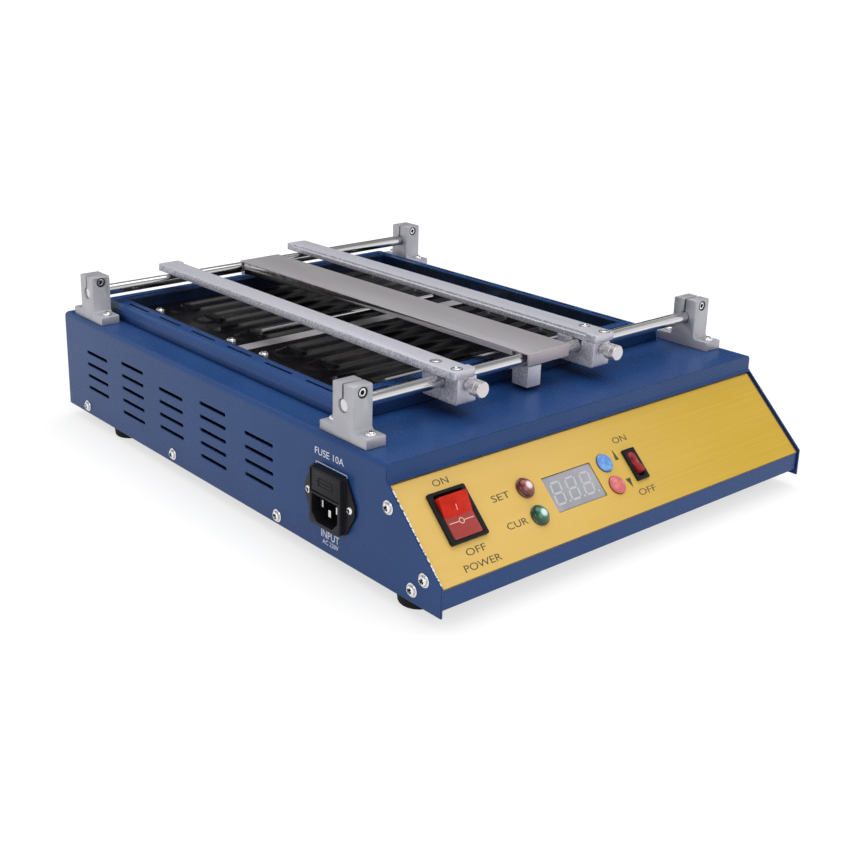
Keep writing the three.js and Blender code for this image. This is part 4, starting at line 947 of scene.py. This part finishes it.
def all_screws():
    kinds = {
        kind: cross_screw(kind + "_screw", *(size * MM for size in sizes))
        for kind, sizes in SCREW_KINDS.items()
    }
    up = (0, 0, 1)
    low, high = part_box("cover")
    on_sides = []
    for y, z in in_metres(COVER_SCREWS):
        on_sides += [((low.x, y, z), (-1, 0, 0)), ((high.x, y, z), (1, 0, 0))]
    screws("cover_screws", kinds["broad"], on_sides, "housing", 3)

    on_plates = []
    for node in ("heater_plate_front", "heater_plate_rear"):
        low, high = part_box(node)
        for x in (low.x + 15 * MM, high.x - 15 * MM):
            for y in (low.y + 10 * MM, high.y - 17 * MM):
                on_plates.append(((x, y, low.z + PLATE_SHEET), up))
    screws("plate_screws", kinds["pan"], on_plates, "housing", 5)

    on_supports = []
    for corner in CORNERS:
        low, _, middle = box_of("support_" + corner)
        for away in (-16 * MM, 16 * MM):
            on_supports.append(((middle.x, middle.y + away, low.z + SUPPORT_FOOT), up))
    screws("support_screws", kinds["pan"], on_supports, "housing", 9)

    for side, places in BAR_SCREWS.items():
        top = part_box("clamp_bar_" + side)[1].z
        points = [((x, y, top), up) for x, y in in_metres(places)]
        screws(side + "_bar_screws", kinds["flush"], points, side + "_clamp", 11)

    low, _, middle = box_of("inlet_body")
    ears = [
        ((low.x + INLET_EARS, middle.y + away, middle.z), (-1, 0, 0))
        for away in (-19 * MM, 19 * MM)
    ]
    screws("inlet_screws", kinds["small"], ears, "housing", 13)
    for prototype in kinds.values():
        bpy.data.objects.remove(prototype)


# ---------------------------------------------------------------- words and marks

# Printing: its thickness, and the faces of a printed mark under and over its sheet
INK_DEPTH = 0.08 * MM
INK = (-0.02 * MM, 0.05 * MM)

# Words on the slope: text, from X, to X, middle up the slope, height
SLOPE_WORDS = {
    "word_power_on": ("ON", -131.8, -120.6, 56.5, 4.0),
    "word_power_off": ("OFF", -133.2, -118.8, 14.8, 4.0),
    "word_power": ("POWER", -139.2, -112.4, 6.9, 4.0),
    "word_set": ("SET", -99.5, -85.8, 37.6, 4.0),
    "word_cur": ("CUR", -98.8, -83.1, 20.2, 4.0),
    "word_heat_on": ("ON", 8.5, 20.5, 47.4, 4.0),
    "word_heat_off": ("OFF", 6.3, 21.3, 12.4, 4.0),
}
# Words on the left side face: text, from -Y, to -Y, middle height, letter height
SIDE_WORDS = {
    "word_fuse": ("FUSE 10A", 101.3, 127.8, 68.5, 4.2),
    "word_input": ("INPUT", 107.3, 124.0, 19.2, 4.6),
    "word_voltage": ("AC 220V", 108.6, 123.4, 14.4, 2.8),
}


def lettering():
    """Generic words, printed on the slope and on the left side."""
    for table, place, ink, slot in (
        (SLOPE_WORDS, SLOPE, BLACK_INK_AND_SHADOW, "yellow_plate"),
        (SIDE_WORDS, SIDE_FACE, WHITE_INK, "blue_coat"),
    ):
        for name, (text, start, end, up, height) in table.items():
            middle = ((start + end) / 2 * MM, up * MM, 0)
            size = ((end - start) * MM, height * MM, INK_DEPTH)
            piece(name, word_mesh(name, text, middle, size, place), "housing", slot, ink)


def word_mesh(name, text, middle, size, place):
    """A word that fills a box of that size about its middle, on a face."""
    curve = bpy.data.curves.new(name, "FONT")
    curve.body = text
    curve.resolution_u = 4
    curve.extrude = 0.5
    bm = bmesh.new()
    bm.from_mesh(baked(loose_object(name, curve)))
    bmesh.ops.remove_doubles(bm, verts=bm.verts, dist=0.01 * MM)
    low = [min(v.co[i] for v in bm.verts) for i in range(3)]
    high = [max(v.co[i] for v in bm.verts) for i in range(3)]
    for vert in bm.verts:
        for i in range(3):
            share = (vert.co[i] - low[i]) / (high[i] - low[i])
            vert.co[i] = middle[i] + (share - 0.5) * size[i]
    return finished(bm, name, place)


def slab_piece(name, bm, place, body, slot, material=None):
    """Makes a piece of the slabs in a bmesh."""
    piece(name, finished(bm, name, place), body, slot, material)


def arrows_and_bracket():
    """The two arrows by the push buttons, and the line over the inlet."""
    bm = bmesh.new()
    for outline in (
        [(2.6, 35.6), (5.8, 35.6), (4.1, 42.8)],
        [(4.4, 16.6), (6.0, 23.0), (1.8, 23.0)],
    ):
        add_slab(bm, in_metres(outline), *INK)
    slab_piece("button_arrows", bm, SLOPE, "housing", "yellow_plate", BLACK_INK_AND_SHADOW)
    bm = bmesh.new()
    bars = [(116.6, 61.9, 28.8, 0.5), (102.4, 60.9, 0.5, 2.0), (130.8, 60.9, 0.5, 2.0)]
    add_bars(bm, bars, *INK)
    slab_piece("inlet_bracket", bm, SIDE_FACE, "housing", "blue_coat", WHITE_INK)


def rocker_marks():
    """I on the raised half of the power rocker, and O with a line through on the pressed half."""
    middle = box_of("power_switch_body")[2]
    crease = SLOPE @ Matrix.Translation((middle.x, POWER_CREASE, 1.94 * MM))
    raised_half = Matrix.Rotation(math.radians(18.3), 4, "X")
    low, high, o_middle = 0.02 * MM, 0.1 * MM, -3.2
    bm = bmesh.new()
    add_bars(bm, [(0, 4.6, 0.55, 3.4)], 0, 0.05 * MM)
    bmesh.ops.transform(bm, matrix=raised_half, verts=bm.verts)
    add_bars(bm, [(-5.4, o_middle, 7, 0.5), (5.4, o_middle, 7, 0.5)], low, high)
    add_ring(bm, 1.3 * MM, 1.85 * MM, low, high, 24, y=o_middle * MM)
    slab_piece("rocker_marks", bm, crease, "power_rocker", "red_rocker", PALE_MARK)


def inlet_details():
    """Bright sleeves on the inlet's three pins, and the raised fuse sign on its drawer."""
    outwards = Matrix(((0, 0, 1, 0), (1, 0, 0, 0), (0, 1, 0, 0), (0, 0, 0, 1)))
    low, _, middle = box_of("inlet_body")
    bm = bmesh.new()
    pins = [(-7, -5, 2.2, 4.2), (7, -5, 2.2, 4.2), (0, -9, 2.2, 4.2)]
    add_bars(bm, pins, low.x + 3.9 * MM, low.x + 14.5 * MM, middle.y, middle.z)
    slab_piece("inlet_pin_sleeves", bm, outwards, "housing", "chrome")

    low, _, middle = box_of("fuse_drawer")
    bm = bmesh.new()
    sign = [
        (0, 2.3, 13, 0.5),
        (0, -2.3, 13, 0.5),
        (-6.3, 0, 0.5, 4.6),
        (6.3, 0, 0.5, 4.6),
        (0, 0, 16.5, 0.4),
    ]
    add_bars(bm, sign, low.x - 0.25 * MM, low.x + 0.1 * MM, middle.y, middle.z)
    slab_piece("drawer_fuse_sign", bm, outwards, "fuse_drawer", "black_plastic")


def worn_panel_edge():
    """Bare metal that shows in places on the left side panel's edge, along the slope."""
    bm = bmesh.new()
    draw = random.Random(7)
    edge, start, end = -159.3, 3.0, 60
    s = start
    while s < end:
        length = draw.uniform(0.8, 3.6)
        width = draw.uniform(0.6, 1.1)
        bar = (edge + width / 2, s + length / 2, width, length)
        add_bars(bm, [bar], 1.15 * MM, 1.24 * MM)
        s += length + draw.uniform(0.2, 1.8)
    slab_piece("worn_panel_edge", bm, SLOPE, "housing", "blue_coat", WHITE_INK)


def gap_round_label():
    """Dark strips that paint the shadow in the gap between the label and the sheet round it."""
    low, high = 0.6, 63.3
    bm = bmesh.new()
    bars = [
        (157.3, (low + high) / 2, 1.3, high - low),
        (0, low + 0.2, 315.6, 0.45),
        (0, high - 0.5, 315.6, 0.6),
    ]
    add_bars(bm, bars, -0.02 * MM, 0.04 * MM)
    slab_piece("gap_round_label", bm, SLOPE, "housing", "yellow_plate", BLACK_INK_AND_SHADOW)


def sunk_rings():
    """Dark rings that paint the shadow in the rims of the holes that the bars' and the supports'
    screws are sunk in.
    """
    steps, below = 28, -0.02 * MM
    for side, places in BAR_SCREWS.items():
        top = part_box("clamp_bar_" + side)[1].z
        bm = bmesh.new()
        for x, y in in_metres(places):
            place = Matrix.Translation((x, y, top))
            add_ring(bm, 2.8 * MM, 3.6 * MM, below, 0.03 * MM, steps, place=place)
        name = side + "_bar_screw_rims"
        slab_piece(name, bm, None, side + "_clamp", "satin_aluminium", SHADOW)
    bm = bmesh.new()
    for corner in CORNERS:
        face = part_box("support_" + corner)[0].y + SUPPORT_SHOULDER
        middle = box_of("clamp_screw_" + corner)[2]
        to_front = Matrix.Rotation(QUARTER, 4, "X")
        place = Matrix.Translation((middle.x, face, middle.z)) @ to_front
        add_ring(bm, 2.6 * MM, 3.45 * MM, below, 0.05 * MM, steps, place=place)
    slab_piece("clamp_screw_rims", bm, None, "housing", "satin_aluminium", SHADOW)


def display_digits():
    """Three unlit seven-segment digits in the display window, with their points."""
    centre = box_of("display_window")[2].x
    s = 28.8 * MM
    slant = math.tan(math.radians(9))
    width, height, bar, gap = 7.2 * MM, 13.2 * MM, 1.3 * MM, 0.35 * MM
    digit_pitch, digit_shift = 12.2 * MM, -1.0 * MM
    dot_gap, dot_radius, dot_steps = 1.9 * MM, 0.75 * MM, 12
    low, high = -0.62 * MM, -0.55 * MM
    bm = bmesh.new()

    def segment(x, y, length, upright):
        half, thick = length / 2 - gap, bar / 2
        waist = half - thick
        shape = [
            (-half, 0), (-waist, -thick), (waist, -thick),
            (half, 0), (waist, thick), (-waist, thick),
        ]
        if upright:
            shape = [(-q, p) for p, q in shape]
        add_slab(bm, [(x + p + (y + q) * slant, s + y + q) for p, q in shape], low, high)

    half_height = height / 2
    for place in (-1, 0, 1):
        x = centre + place * digit_pitch + digit_shift
        for y in (-half_height, 0, half_height):
            segment(x, y, width, upright=False)
        for side in (-width / 2, width / 2):
            for y in (-half_height / 2, half_height / 2):
                segment(x + side, y, half_height, upright=True)
        dot_x = x + width / 2 + dot_gap
        dot = [
            on_circle(dot_radius, 2 * math.pi * i / dot_steps, dot_x, s - half_height)
            for i in range(dot_steps)
        ]
        add_slab(bm, dot, low, high)
    slab_piece("display_digits", bm, SLOPE, "housing", "display_grey", SEGMENT)


# ---------------------------------------------------------------- rails and turned pieces


def rails():
    along_x = Matrix.Rotation(QUARTER, 4, "Y")
    chamfer = 0.5 * MM
    for node in ("rail_front", "rail_rear"):
        low, high, middle = box_of(node)
        radius = (high.z - low.z) / 2
        half = (high.x - low.x) / 2
        profile = [
            (0, -half),
            (radius - chamfer, -half),
            (radius, -half + chamfer),
            (radius, half - chamfer),
            (radius - chamfer, half),
            (0, half),
        ]
        mesh = turned(node, profile, 64, Matrix.Translation(middle) @ along_x)
        piece(node + "_rod", mesh, "housing", "chrome", replaces=(node,))


def thumb_screws():
    """Knurled heads on the clamp blocks."""
    teeth, tooth_depth = 36, 0.3 * MM
    to_rear = Matrix.Rotation(-QUARTER, 4, "X")
    for side in ("left", "right"):
        node = "thumb_screw_" + side
        low, high, middle = box_of(node)
        r = (high.z - low.z) / 2 / MM
        length = (high.y - low.y) / MM
        smallest, knurl_start, knurl_end = (r - 0.35) * MM, 0.7 * MM, 8.3 * MM

        def knurl(i, radius, height):
            on_knurl = radius >= smallest and knurl_start < height < knurl_end
            return -tooth_depth if on_knurl and i % 2 else 0

        profile = in_metres([
            (0, 0.12), (3.2, 0.08), (r - 0.6, 0), (r - 0.1, 0.5),
            (r, 0.8), (r, 3.4), (r - 0.5, 3.7), (r - 0.5, 4.0), (r, 4.3), (r, 7.9),
            (r - 0.5, 8.5), (3.3, 8.5), (3.2, 8.7), (3.2, 12.8), (2.9, 13.3), (2.4, 13.35),
            (2.4, length - 0.5), (1.9, length), (0, length),
        ])
        place = Matrix.Translation((middle.x, low.y, middle.z)) @ to_rear
        mesh = turned(node, profile, 2 * teeth, place, knurl, sharp_degrees=25)
        piece(node + "_knurled", mesh, side + "_thumb_screw", "chrome", NICKEL, (node,))


def lamps():
    """Domes with a rolled rim."""
    inverse = SLOPE.inverted()
    dome_radius, dome_foot, dome_steps = 5.5, 1.35, 12
    dome_height = LAMP_HEIGHT / MM - dome_foot
    for node, slot in (("lamp_red", "red_lens"), ("lamp_green", "green_lens")):
        points = [inverse @ v.co for v in frame["nodes"][node].data.vertices]
        x, s = (
            (min(p[i] for p in points) + max(p[i] for p in points)) / 2 for i in range(2)
        )
        bottom = min(p.z for p in points) / MM
        profile = [
            (0, bottom), (4.6, bottom), (4.8, bottom + 0.2), (4.8, 0.1), (5.95, 0.1),
            (6.2, 0.3), (6.25, 0.7), (6.1, 1.1), (5.7, 1.3), (dome_radius, dome_foot),
        ]
        for step in range(1, dome_steps):
            turn = QUARTER * step / dome_steps
            height = dome_foot + dome_height * math.sin(turn)
            profile.append((dome_radius * math.cos(turn), height))
        profile.append((0, dome_foot + dome_height))
        place = SLOPE @ Matrix.Translation((x, s, 0))
        mesh = turned(node, in_metres(profile), 48, place)
        piece(node + "_dome", mesh, "housing", slot, replaces=(node,))


# ---------------------------------------------------------------- heater plates

# The beads: rows of a plate's two runs, first and last, and the rows' pitch
BEAD_RUNS = ((0, 2), (3, 6))
BEAD_PITCH = 123 / 7 * MM
BEAD_MARGIN = 4.4 * MM
BEAD_REACH = 87 * MM
BEAD_TAIL = 11 * MM
BEAD_TURN = 4 * MM
# The raised fields round the left turns
LOBE_LENGTH = 15 * MM
LOBE_HALF = 11 * MM
LOBE_SLOPE = 4 * MM
# The front plate's rows start a little before its box
FRONT_LEAD = 0.3 * MM
# The side of the pressed sheet's cells
CELL = 1.1 * MM


def rounded_corner(before, at, after, radius, steps):
    here = Vector(at)
    back = (Vector(before) - here).normalized()
    on = (Vector(after) - here).normalized()
    first = here + back * radius
    middle = first + on * radius
    last = here + on * radius
    points = []
    for step in range(steps + 1):
        turn = QUARTER * step / steps
        points.append(
            middle + (first - middle) * math.cos(turn) + (last - middle) * math.sin(turn)
        )
    return points


def bead_guide(start, height):
    """Edges along the middle lines of a plate's two runs, for the pressing to follow."""
    verts, edges = [], []
    for first, last in BEAD_RUNS:
        corners = []
        for row in range(first, last + 1):
            side = BEAD_REACH if (row - first) % 2 == 0 else -BEAD_REACH
            y = start + BEAD_MARGIN + row * BEAD_PITCH
            corners += [(side, y), (-side, y)]
        if first == 0:
            corners[-1] = (corners[-1][0] - BEAD_TAIL, corners[-1][1])
        points = [Vector(corners[0])]
        for before, at, after in zip(corners, corners[1:], corners[2:]):
            points += rounded_corner(before, at, after, BEAD_TURN, 8)
        points.append(Vector(corners[-1]))
        edges += [(len(verts) + i, len(verts) + i + 1) for i in range(len(points) - 1)]
        verts += [(point.x, point.y, height) for point in points]
    mesh = bpy.data.meshes.new("bead_lines")
    mesh.from_pydata(verts, edges, [])
    return loose_object("bead_lines", mesh)


def lobe_guide(start, height):
    """The raised fields' flat tops: straight to the right, half round to the left."""
    bm = bmesh.new()
    radius = LOBE_HALF - LOBE_SLOPE
    x = -BEAD_REACH - LOBE_LENGTH + LOBE_HALF
    steps = 16
    for first, last in BEAD_RUNS:
        for row in range(first, last, 2):
            y = start + BEAD_MARGIN + (row + 0.5) * BEAD_PITCH
            right = -BEAD_REACH + BEAD_TURN
            outline = [(right, y - radius), (right, y + radius)]
            for step in range(steps + 1):
                outline.append(on_circle(radius, QUARTER + math.pi * step / steps, x, y))
            bm.faces.new([bm.verts.new((p, q, height)) for p, q in outline])
    bmesh.ops.triangulate(bm, faces=bm.faces)
    mesh = bpy.data.meshes.new("lobe_faces")
    bm.to_mesh(mesh)
    bm.free()
    return loose_object("lobe_faces", mesh)


def pressing_tree():
    """A sheet pressed up along its beads and lobes, and warped a little by heat."""
    inputs = {
        "Beads": (OBJECT, None),
        "Lobes": (OBJECT, None),
        "Width": (FLOAT, 0.2),
        "Depth": (FLOAT, 0.1),
        "Columns": (INTEGER, 100),
        "Rows": (INTEGER, 50),
        "Middle": (VECTOR, (0, 0, 0)),
        "Bead Crown": (FLOAT, 0.3 * MM),
        "Bead Foot": (FLOAT, 3.4 * MM),
        "Bead Height": (FLOAT, 2 * MM),
        "Lobe Slope": (FLOAT, LOBE_SLOPE),
        "Lobe Height": (FLOAT, 0.8 * MM),
        "Warp": (FLOAT, 0.5 * MM),
        "Seed": (FLOAT, 4.0),
        "Finish": (MATERIAL, None),
    }
    tree, entry, leave = new_group(
        "pressed_sheet", "GeometryNodeTree", inputs, {"Sheet": GEOMETRY}
    )
    sizes = {"Size X": "Width", "Size Y": "Depth", "Vertices X": "Columns", "Vertices Y": "Rows"}
    grid = add_node(
        tree, "GeometryNodeMeshGrid", {key: entry[label] for key, label in sizes.items()}
    )
    shift = {"Geometry": grid.outputs["Mesh"], "Translation": entry["Middle"]}
    moved = add_node(tree, "GeometryNodeTransform", shift)

    def raised(guide_name, target, near, far, height):
        """Height by the distance from a guide."""
        guide = add_node(tree, "GeometryNodeObjectInfo", {"Object": entry[guide_name]})
        distance = tree.nodes.new("GeometryNodeProximity")
        distance.target_element = target
        connect(tree, distance, {0: guide.outputs["Geometry"]})
        return map_range(tree, distance.outputs["Distance"], near, far, height, 0)

    bead = raised(
        "Beads", "EDGES", entry["Bead Crown"], entry["Bead Foot"], entry["Bead Height"]
    )
    lobe = raised("Lobes", "FACES", 0, entry["Lobe Slope"], entry["Lobe Height"])
    waves = tree.nodes.new("ShaderNodeTexNoise")
    waves.noise_dimensions = "4D"
    connect(tree, waves, {"W": entry["Seed"], "Scale": 11, "Detail": 1})
    sunk = product(tree, waves.outputs[0], entry["Warp"])
    rise = math_node(tree, "SUBTRACT", math_node(tree, "MAXIMUM", bead, lobe), sunk)
    offset = add_node(tree, "ShaderNodeCombineXYZ", {"Z": rise})
    pressing = {"Geometry": moved.outputs["Geometry"], "Offset": offset.outputs["Vector"]}
    pressed = add_node(tree, "GeometryNodeSetPosition", pressing)
    coat_and_leave(tree, pressed.outputs["Geometry"], entry["Finish"], leave)
    return tree


def heater_plates():
    tree = pressing_tree()
    for number, end in enumerate(("front", "rear")):
        node = "heater_plate_" + end
        low, high, middle = box_of(node)
        width, depth = high.x - low.x, high.y - low.y
        start = low.y - (FRONT_LEAD if end == "front" else 0)
        top = low.z + PLATE_SHEET
        guides = (bead_guide(start, top), lobe_guide(start, top))
        values = {
            "Beads": guides[0],
            "Lobes": guides[1],
            "Width": width,
            "Depth": depth,
            "Columns": int(width / CELL),
            "Rows": int(depth / CELL),
            "Middle": (middle.x, middle.y, top),
            "Seed": 4.0 + number,
            "Finish": FINISHES["black_enamel"],
        }
        bm = bmesh.new()
        carrier = loose_object(node + "_sheet", bpy.data.meshes.new(node + "_sheet"))
        bm.from_mesh(laid_out(carrier, tree, values))
        for guide in guides:
            bpy.data.objects.remove(guide)
        rim = [e for e in bm.edges if e.is_boundary]
        lower = bmesh.ops.extrude_edge_only(bm, edges=rim)["geom"]
        for vert in (v for v in lower if isinstance(v, bmesh.types.BMVert)):
            vert.co.z = low.z
        bmesh.ops.contextual_create(
            bm, geom=[e for e in lower if isinstance(e, bmesh.types.BMEdge)]
        )
        mesh = finished(bm, node, sharp_degrees=60)
        piece(node + "_pressed", mesh, "housing", "black_enamel", replaces=(node,))


# ---------------------------------------------------------------- softened model pieces


def rounded_pieces():
    for corner in CORNERS:
        softened("support_" + corner, 0.35 * MM)
        softened("clamp_screw_" + corner, 0.25 * MM, material=SCREWS)
        softened("foot_" + corner, 0.4 * MM)
    for node in (
        "clamp_bar_left", "clamp_block_left", "clamp_bar_right", "clamp_block_right",
        "support_block",
    ):
        softened(node, 0.3 * MM, material=SAWN)
    softened("support_strip", 0.25 * MM)
    softened("power_rocker", 0.7 * MM, 3)
    softened("heat_rocker", 0.5 * MM, 3, DARK_RED)
    softened("power_switch_body", 0.25 * MM)
    softened("heat_switch_body", 0.2 * MM)
    softened("inlet_body", 0.3 * MM)
    softened("fuse_drawer", 0.35 * MM)


# ---------------------------------------------------------------- studio

# Soft lights: place, diameter and power; each looks at the object's middle
LIGHTS = {
    "top_light": ((0.3, 0.15, 1.8), 1.5, 11),
    "front_light": ((-0.1, -1.7, 1.2), 1.2, 6),
    "left_light": ((-1.7, -0.4, 0.9), 0.9, 3),
}
LOOKED_AT = Vector((0, 0, 0.05))
FLOOR_REACH = 9
FLOOR_DEPTH = 0.2 * MM
# The camera: from a fit to the photograph
CAMERA_PLACE = (-0.56514, -0.642165, 0.339216)
CAMERA_YAW, CAMERA_PITCH, CAMERA_ROLL = -38.2966, 90 - 18.2826, 0.4131
CAMERA_LENS, CAMERA_SENSOR = 54.15, 36
CAMERA_SHIFT = (0.0931, -0.0646)
CAMERA_NEAR = 0.02
# The black card: the way from the object, how far, half its width, its lower and upper edge
CARD_AWAY = Vector((0.59, 0.747, 0)).normalized()
CARD_DISTANCE = 1.6
CARD_HALF = 0.9
CARD_LOW, CARD_HIGH = 0.16, 1.1


def sheet_object(name, corners, material):
    """A flat stage sheet on four corners."""
    mesh = bpy.data.meshes.new(name)
    mesh.from_pydata(corners, [], [(0, 1, 2, 3)])
    mesh.materials.append(material)
    return loose_object(name, mesh)


def studio():
    corners = [(x, y, 0) for x, y in rectangle(0, 0, 2 * FLOOR_REACH, 2 * FLOOR_REACH)]
    floor = sheet_object("studio_floor", corners, floor_material())
    floor.location.z = -FLOOR_DEPTH
    studio_world()
    black_card()
    for name, (place, size, power) in LIGHTS.items():
        data = bpy.data.lights.new(name, "AREA")
        data.shape = "DISK"
        data.size = size
        data.energy = power
        light = loose_object(name, data)
        light.location = place
        light.rotation_euler = (LOOKED_AT - Vector(place)).to_track_quat("-Z", "Y").to_euler()


def seen_directly(tree):
    """1 for what the camera sees, also through a mirror or glass."""
    path = tree.nodes.new("ShaderNodeLightPath").outputs
    seen = math_node(tree, "MAXIMUM", path["Is Camera Ray"], path["Is Glossy Ray"])
    return math_node(tree, "MAXIMUM", seen, path["Is Transmission Ray"])


def mixed_by_sight(tree, as_light, as_seen, output_kind):
    """One shader as a light, another as it is seen, sent to the tree's output."""
    parts = {0: seen_directly(tree), 1: as_light.outputs[0], 2: as_seen.outputs[0]}
    mixed = add_node(tree, "ShaderNodeMixShader", parts)
    add_node(tree, output_kind, {"Surface": mixed.outputs[0]})


def floor_material():
    """Pale floor that runs out to white, and keeps the object's shadow."""
    material = bpy.data.materials.new("studio_floor")
    material.use_nodes = True
    tree = material.node_tree
    tree.nodes.clear()
    away = vector_math(tree, "LENGTH", object_place(tree), output="Value")
    glow_strength = map_range(tree, away, 0.4, 1.6, 0.66, 1)
    plain = add_node(tree, "ShaderNodeBsdfDiffuse", {"Color": (0.85, 0.85, 0.85, 1)})
    shaded = add_node(tree, "ShaderNodeBsdfDiffuse", {"Color": (0.35, 0.35, 0.35, 1)})
    glow = add_node(tree, "ShaderNodeEmission", {"Strength": glow_strength})
    both = {0: shaded.outputs[0], 1: glow.outputs[0]}
    mixed_by_sight(
        tree, plain, add_node(tree, "ShaderNodeAddShader", both), "ShaderNodeOutputMaterial"
    )
    return material


def studio_world():
    """White to the camera, to mirrors and to glass, with a dimmer ceiling; softer as a light."""
    world = bpy.data.worlds.new("studio")
    scene.world = world
    world.use_nodes = True
    tree = world.node_tree
    tree.nodes.clear()
    height = parts_of(tree, tree.nodes.new("ShaderNodeTexCoord").outputs["Generated"])["Z"]
    around, white = (
        add_node(
            tree,
            "ShaderNodeBackground",
            {"Color": (1, 1, 1, 1), "Strength": map_range(tree, height, *strengths)},
        )
        for strengths in ((0, 0.8, 0.22, 1), (0.33, 0.8, 1, 0.3))
    )
    mixed_by_sight(tree, around, white, "ShaderNodeOutputWorld")


def black_card():
    """A black card behind the object, over the camera's view, that the enamel mirrors."""
    across = Vector((CARD_AWAY.y, -CARD_AWAY.x, 0)) * CARD_HALF
    foot = CARD_AWAY * CARD_DISTANCE
    low, high = Vector((0, 0, CARD_LOW)), Vector((0, 0, CARD_HIGH))
    corners = [
        foot - across + low, foot + across + low, foot + across + high, foot - across + high
    ]
    black = Finish("black_card", (0.01, 0.01, 0.01), 0.9, Specular_IOR_Level=0)
    card = sheet_object("black_card", corners, black.material)
    card.visible_camera = False
    card.visible_diffuse = False
    card.visible_shadow = False


def photo_camera():
    data = bpy.data.cameras.new("photo_camera")
    data.lens = CAMERA_LENS
    data.sensor_width = CAMERA_SENSOR
    data.shift_x, data.shift_y = CAMERA_SHIFT
    data.clip_start = CAMERA_NEAR
    camera = loose_object("photo_camera", data)
    camera.matrix_world = (
        Matrix.Translation(CAMERA_PLACE)
        @ Matrix.Rotation(math.radians(CAMERA_YAW), 4, "Z")
        @ Matrix.Rotation(math.radians(CAMERA_PITCH), 4, "X")
        @ Matrix.Rotation(math.radians(CAMERA_ROLL), 4, "Z")
    )
    scene.camera = camera


photo_camera()
dress_frame()
rails()
thumb_screws()
lamps()
heater_plates()
rounded_pieces()
all_screws()
lettering()
arrows_and_bracket()
display_digits()
rocker_marks()
inlet_details()
worn_panel_edge()
gap_round_label()
sunk_rings()
studio()
scene.view_settings.view_transform = "Standard"
